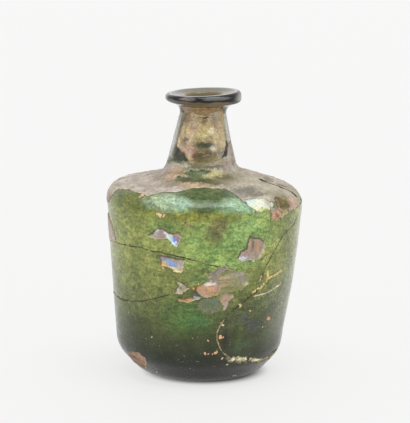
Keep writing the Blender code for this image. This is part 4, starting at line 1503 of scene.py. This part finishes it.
cracks = {  # degrees round and height, along each crack; then its width in millimetres and its stuff
    "crack_left": ([
        (-84, 57), (-64, 56), (-52, 56.6), (-40, 57.4), (-31, 56.6), (-20, 56.4), (-11, 55.4), (-3.5, 54.4),
        (4, 53), (10, 52.4), (19, 51.4), (24, 50)], 0.48, "dark"),
    "crack_low_left": ([
        (-86, 33.4), (-76, 33), (-63, 33), (-52, 33.6), (-40, 35), (-29, 37.4), (-19, 40)], 0.48, "dark"),
    "crack_right": ([
        (74, 71), (65, 66.4), (58, 65), (53, 63), (49.6, 60), (45.4, 56.4), (42, 52.4), (39.4, 49),
        (38.4, 43)], 0.36, "dark"),
    "crack_right_low": ([
        (38.4, 43), (36.5, 41.6), (31, 39.2), (26, 36.9), (21.5, 34.4), (17, 31.6),
        (14, 28.6)], 0.72, "dark"),
    "crack_round_window": ([
        (16, 31), (12.4, 27), (11.2, 24), (11.4, 21), (13.4, 18), (18, 15), (23, 12.6)], 0.6, "pale"),
    "crack_branch": ([
        (59, 42.4), (51.5, 41.3), (45.5, 40), (41, 39.5), (37, 39.2), (33, 39)], 0.76, "ivory"),
    "crack_flake_run": ([(42.5, 49.8), (43.6, 47), (42.6, 44.6), (39, 42.6), (36.4, 41.6)], 0.86, "cream"),
    "crack_flake_top": ([(57, 48.4), (50, 47), (46, 46.6), (42, 45)], 0.62, "cream"),
    "crack_shoulder": ([
        (69.5, 82.4), (72.5, 80.7), (73.5, 79.9), (75.5, 77.9), (76.4, 76.4)], 0.8, "dark", 0.36),
    "crack_shoulder_edge": ([(79.5, 80.8), (81.5, 79), (83, 77), (84, 74)], 0.3, "dark", 0.3),
    "crack_back_high": ([(96, 78), (112, 70), (130, 64), (150, 58), (168, 56), (190, 58)], 0.36, "dark"),
    "crack_back_low": ([
        (-92, 34), (-110, 30), (-128, 33), (-146, 30), (-170, 34), (-186, 40)], 0.36, "dark"),
}
crackLine = {"step": 0.7, "wiggle": 0.35, "sunk": 0.22, "unevenness": 0.6, "sides": 7, "grain": 0.52}


def traceOnGlass(route, sink, wiggle):  # close points along a route, settled on the glass
    points = []
    for (a0, h0), (a1, h1) in zip(route, route[1:]):
        s0, s1 = alongAt(h0), alongAt(h1)
        length = math.hypot(math.radians(a1 - a0) * sectionAt(s0)[0], s1 - s0)
        count = max(2, round(length / crackLine["step"]))
        points += [(a0 + (a1 - a0) * k / count, s0 + (s1 - s0) * k / count) for k in range(count)]
    points.append((route[-1][0], alongAt(route[-1][1])))
    traced = []
    for around, along in points:
        here = turnedPoint(around, along)
        push = noise.noise(here * 0.35) * wiggle + noise.noise(here * 1.3) * wiggle * 0.4
        here, out = onGlass(around + math.degrees(push / 40), along + push)
        traced.append((here - out * sink) * mm)
    return traced


def seamTree():
    tree, asked, result = newGroup("crack seam", "GeometryNodeTree", {
        "Route": "Geometry", "Width": 0.0004, "Unevenness": 0.6, "Grain": 520.0, "Sides": 7,
        "Stuff": "Material"}, {"Seam": "Geometry"})
    curve = first(tree, "GeometryNodeMeshToCurve", {"Mesh": asked["Route"]})
    waves = grain(tree, first(tree, "GeometryNodeInputPosition"), asked["Grain"], 3.0, 0.5)
    low, high = (calc(tree, way, 1.0, asked["Unevenness"]) for way in ("SUBTRACT", "ADD"))
    share = span(tree, waves, 0.3, 0.7, low, high, smooth=False)
    along = addNode(tree, "GeometryNodeSplineParameter").outputs["Factor"]
    ends = times(tree, span(tree, along, 0.0, 0.06, 0.25, 1.0), span(tree, along, 0.94, 1.0, 1.0, 0.25))
    radius = times(tree, times(tree, asked["Width"], 0.5), times(tree, share, ends))
    profile = first(tree, "GeometryNodeCurvePrimitiveCircle", {"Resolution": asked["Sides"], "Radius": 1.0})
    seam = first(tree, "GeometryNodeCurveToMesh", {
        "Curve": curve, "Profile Curve": profile, "Scale": radius, "Fill Caps": True})
    smooth = first(tree, "GeometryNodeSetShadeSmooth", {"Geometry": seam, "Shade Smooth": True})
    return closeTree(tree, result, smooth, asked["Stuff"])


def seamMaterial(name, one, other):
    material, tree, shader = newMaterial(name)
    place, _ = raggedPlace(tree, 2.0, 1.0)
    share = span(tree, grain(tree, place, 0.6, 3.0), 0.4, 0.62)
    feed(tree, shader, {"Base Color": blend(tree, share, paint(*one), paint(*other)), "Roughness": 0.7})
    return material


seamStuff = {kind: seamMaterial("crack_" + kind, *colours) for kind, colours in {
    "dark": ((52, 46, 28), (84, 78, 46)),
    "pale": ((120, 108, 76), (176, 158, 118)),
    "cream": ((232, 210, 146), (212, 170, 100)),
    "ivory": ((188, 168, 136), (226, 212, 184)),
}.items()}
seamNodes = seamTree()
for name, (route, width, stuff, *lift) in cracks.items():  # the lift brings a crack up on to the crust
    trace = traceOnGlass(route, width * crackLine["sunk"] - sum(lift), crackLine["wiggle"])
    settle(growWith(seamNodes, lineMesh(name, trace), {
        "Width": width * mm, "Unevenness": crackLine["unevenness"], "Grain": crackLine["grain"] / mm,
        "Sides": crackLine["sides"], "Stuff": seamStuff[stuff]}, name))
print("cracks drawn:", len(cracks))


# Crumbs of crust: Geometry Nodes strew small flat chips over the crust and along the heel crack

def crumbTree():
    tree, asked, result = newGroup("crumbs", "GeometryNodeTree", {
        "Ground": "Geometry", "Density": 100000.0, "Spacing": 0.0006, "Size": 0.0005, "Flatness": 0.4,
        "Narrowness": 0.7, "Least Share": 0.35, "Clear Edge": 0.3, "Seed": 4, "Stuff": "Material",
    }, {"Crumbs": "Geometry"})
    inputs = {0: named(tree, "FLOAT", "inward"), 1: asked["Clear Edge"]}
    upper = first(tree, "FunctionNodeCompare", inputs, operation="GREATER_THAN")
    strewn = addNode(tree, "GeometryNodeDistributePointsOnFaces", {
        "Mesh": asked["Ground"], "Selection": upper, "Distance Min": asked["Spacing"],
        "Density Max": asked["Density"], "Seed": asked["Seed"]}, distribute_method="POISSON").outputs

    def anyOf(least, most, seed):
        made = addNode(tree, "FunctionNodeRandomValue", {"Seed": seed}, data_type="FLOAT")
        low, high = (k for k, s in enumerate(made.inputs) if s.enabled and s.name in ("Min", "Max"))
        return next(s for s in feed(tree, made, {low: least, high: most}).outputs if s.enabled)

    size = anyOf(times(tree, asked["Size"], asked["Least Share"]), asked["Size"], 7)
    spin = anyOf(0.0, 6.28, 11)
    chips = setChips(
        tree, strewn["Points"], strewn["Rotation"], spin, size, asked["Narrowness"], asked["Flatness"], 1)
    return closeTree(tree, result, chips, asked["Stuff"])


crumbs = {  # ground piece, chips per square metre, spacing, size and flatness in millimetres
    "shoulder_crumbs": ("shoulder_crust", 160000, 1.3, 0.55, 0.4),
    "neck_crumbs": ("neck_crust_front", 220000, 1.1, 0.45, 0.4),
    "heel_crumbs": ("heel_deposit", 900000, 0.75, 0.6, 0.6),
}
crumbNodes = crumbTree()
for name, (ground, density, spacing, size, flatness) in crumbs.items():
    source = bpy.data.objects[ground].data
    made = settle(growWith(crumbNodes, newObject(name, source.copy()), {
        "Density": float(density), "Spacing": spacing * mm, "Size": size * mm, "Flatness": flatness,
        "Narrowness": 0.7, "Least Share": 0.35, "Clear Edge": 0.3, "Seed": 4, "Stuff": source.materials[0],
    }, name))
    print("strewn:", name, len(made.data.polygons), "faces")


# Floor, light and camera

studio = {
    "floorRadius": 9.0,
    "floorSides": 96,
    "floorColour": (0.13, 0.13, 0.1285, 1),
    "floorGlow": (0.708, 0.708, 0.704),  # a lit table top, which keeps the shadow short
    "contactShadowReach": (0.0184, 0.0278),  # metres from the middle over which the glow rises: a painted contact shadow under the bottle
    "floorRoughness": 0.75,
    "floorSpecular": 0.25,
    "world": (0.985, 0.99, 1.0, 1),
    "worldStrength": 0.92,
    "softboxSize": (9.0, 7.0),
    "softboxPlace": (1.2, -2.4, 12.0),
    "softboxAim": (0, 0, 0.08),
    "softboxPower": 820.0,
    "aim": (0.000175, 0, 0.0676),
    "distance": 1.0,
    "elevation": 10.5,
    "focalPixels": 2405,
    "imageHeight": 423,
}


def layFloor():
    mesh = bpy.data.meshes.new("studio_floor")
    disc = bmesh.new()
    sides, radius = studio["floorSides"], studio["floorRadius"]
    bmesh.ops.create_circle(disc, cap_ends=True, segments=sides, radius=radius)
    disc.to_mesh(mesh)
    disc.free()
    material, tree, shader = newMaterial("studio_floor")
    away = fromAxis(tree, addNode(tree, "ShaderNodeTexCoord").outputs["Object"])
    # the glow fades out round the base: a painted contact shadow
    glow = greyOf(tree, span(tree, away, *studio["contactShadowReach"]))
    feed(tree, shader, {
        "Base Color": studio["floorColour"],
        "Emission Color": vectorCalc(tree, "MULTIPLY", glow, studio["floorGlow"]),
        "Emission Strength": 1.0,
        "Roughness": studio["floorRoughness"],
        "Specular IOR Level": studio["floorSpecular"],
    })
    mesh.materials.append(material)
    newObject("studio_floor", mesh)


def facing(place, aim):
    return (Vector(aim) - Vector(place)).to_track_quat("-Z", "Y").to_euler()


def lightStudio():
    world = bpy.data.worlds.new("studio")
    bpy.context.scene.world = world
    world.use_nodes = True
    feed(world.node_tree, world.node_tree.nodes["Background"], {
        "Color": studio["world"], "Strength": studio["worldStrength"]})
    light = bpy.data.lights.new("softbox", "AREA")
    light.shape = "RECTANGLE"
    light.size, light.size_y = studio["softboxSize"]
    light.energy = studio["softboxPower"]
    softbox = newObject("softbox", light)
    softbox.location = studio["softboxPlace"]
    softbox.rotation_euler = facing(studio["softboxPlace"], studio["softboxAim"])


def setCamera():
    data = bpy.data.cameras.new("camera")
    data.lens = studio["focalPixels"] * data.sensor_width / studio["imageHeight"]
    camera = newObject("camera", data)
    slope = math.radians(studio["elevation"])
    aim = Vector(studio["aim"])
    camera.location = aim + studio["distance"] * Vector((0, -math.cos(slope), math.sin(slope)))
    camera.rotation_euler = facing(camera.location, aim)
    bpy.context.scene.camera = camera


layFloor()
lightStudio()
setCamera()
bpy.context.scene.view_settings.view_transform = "Standard"
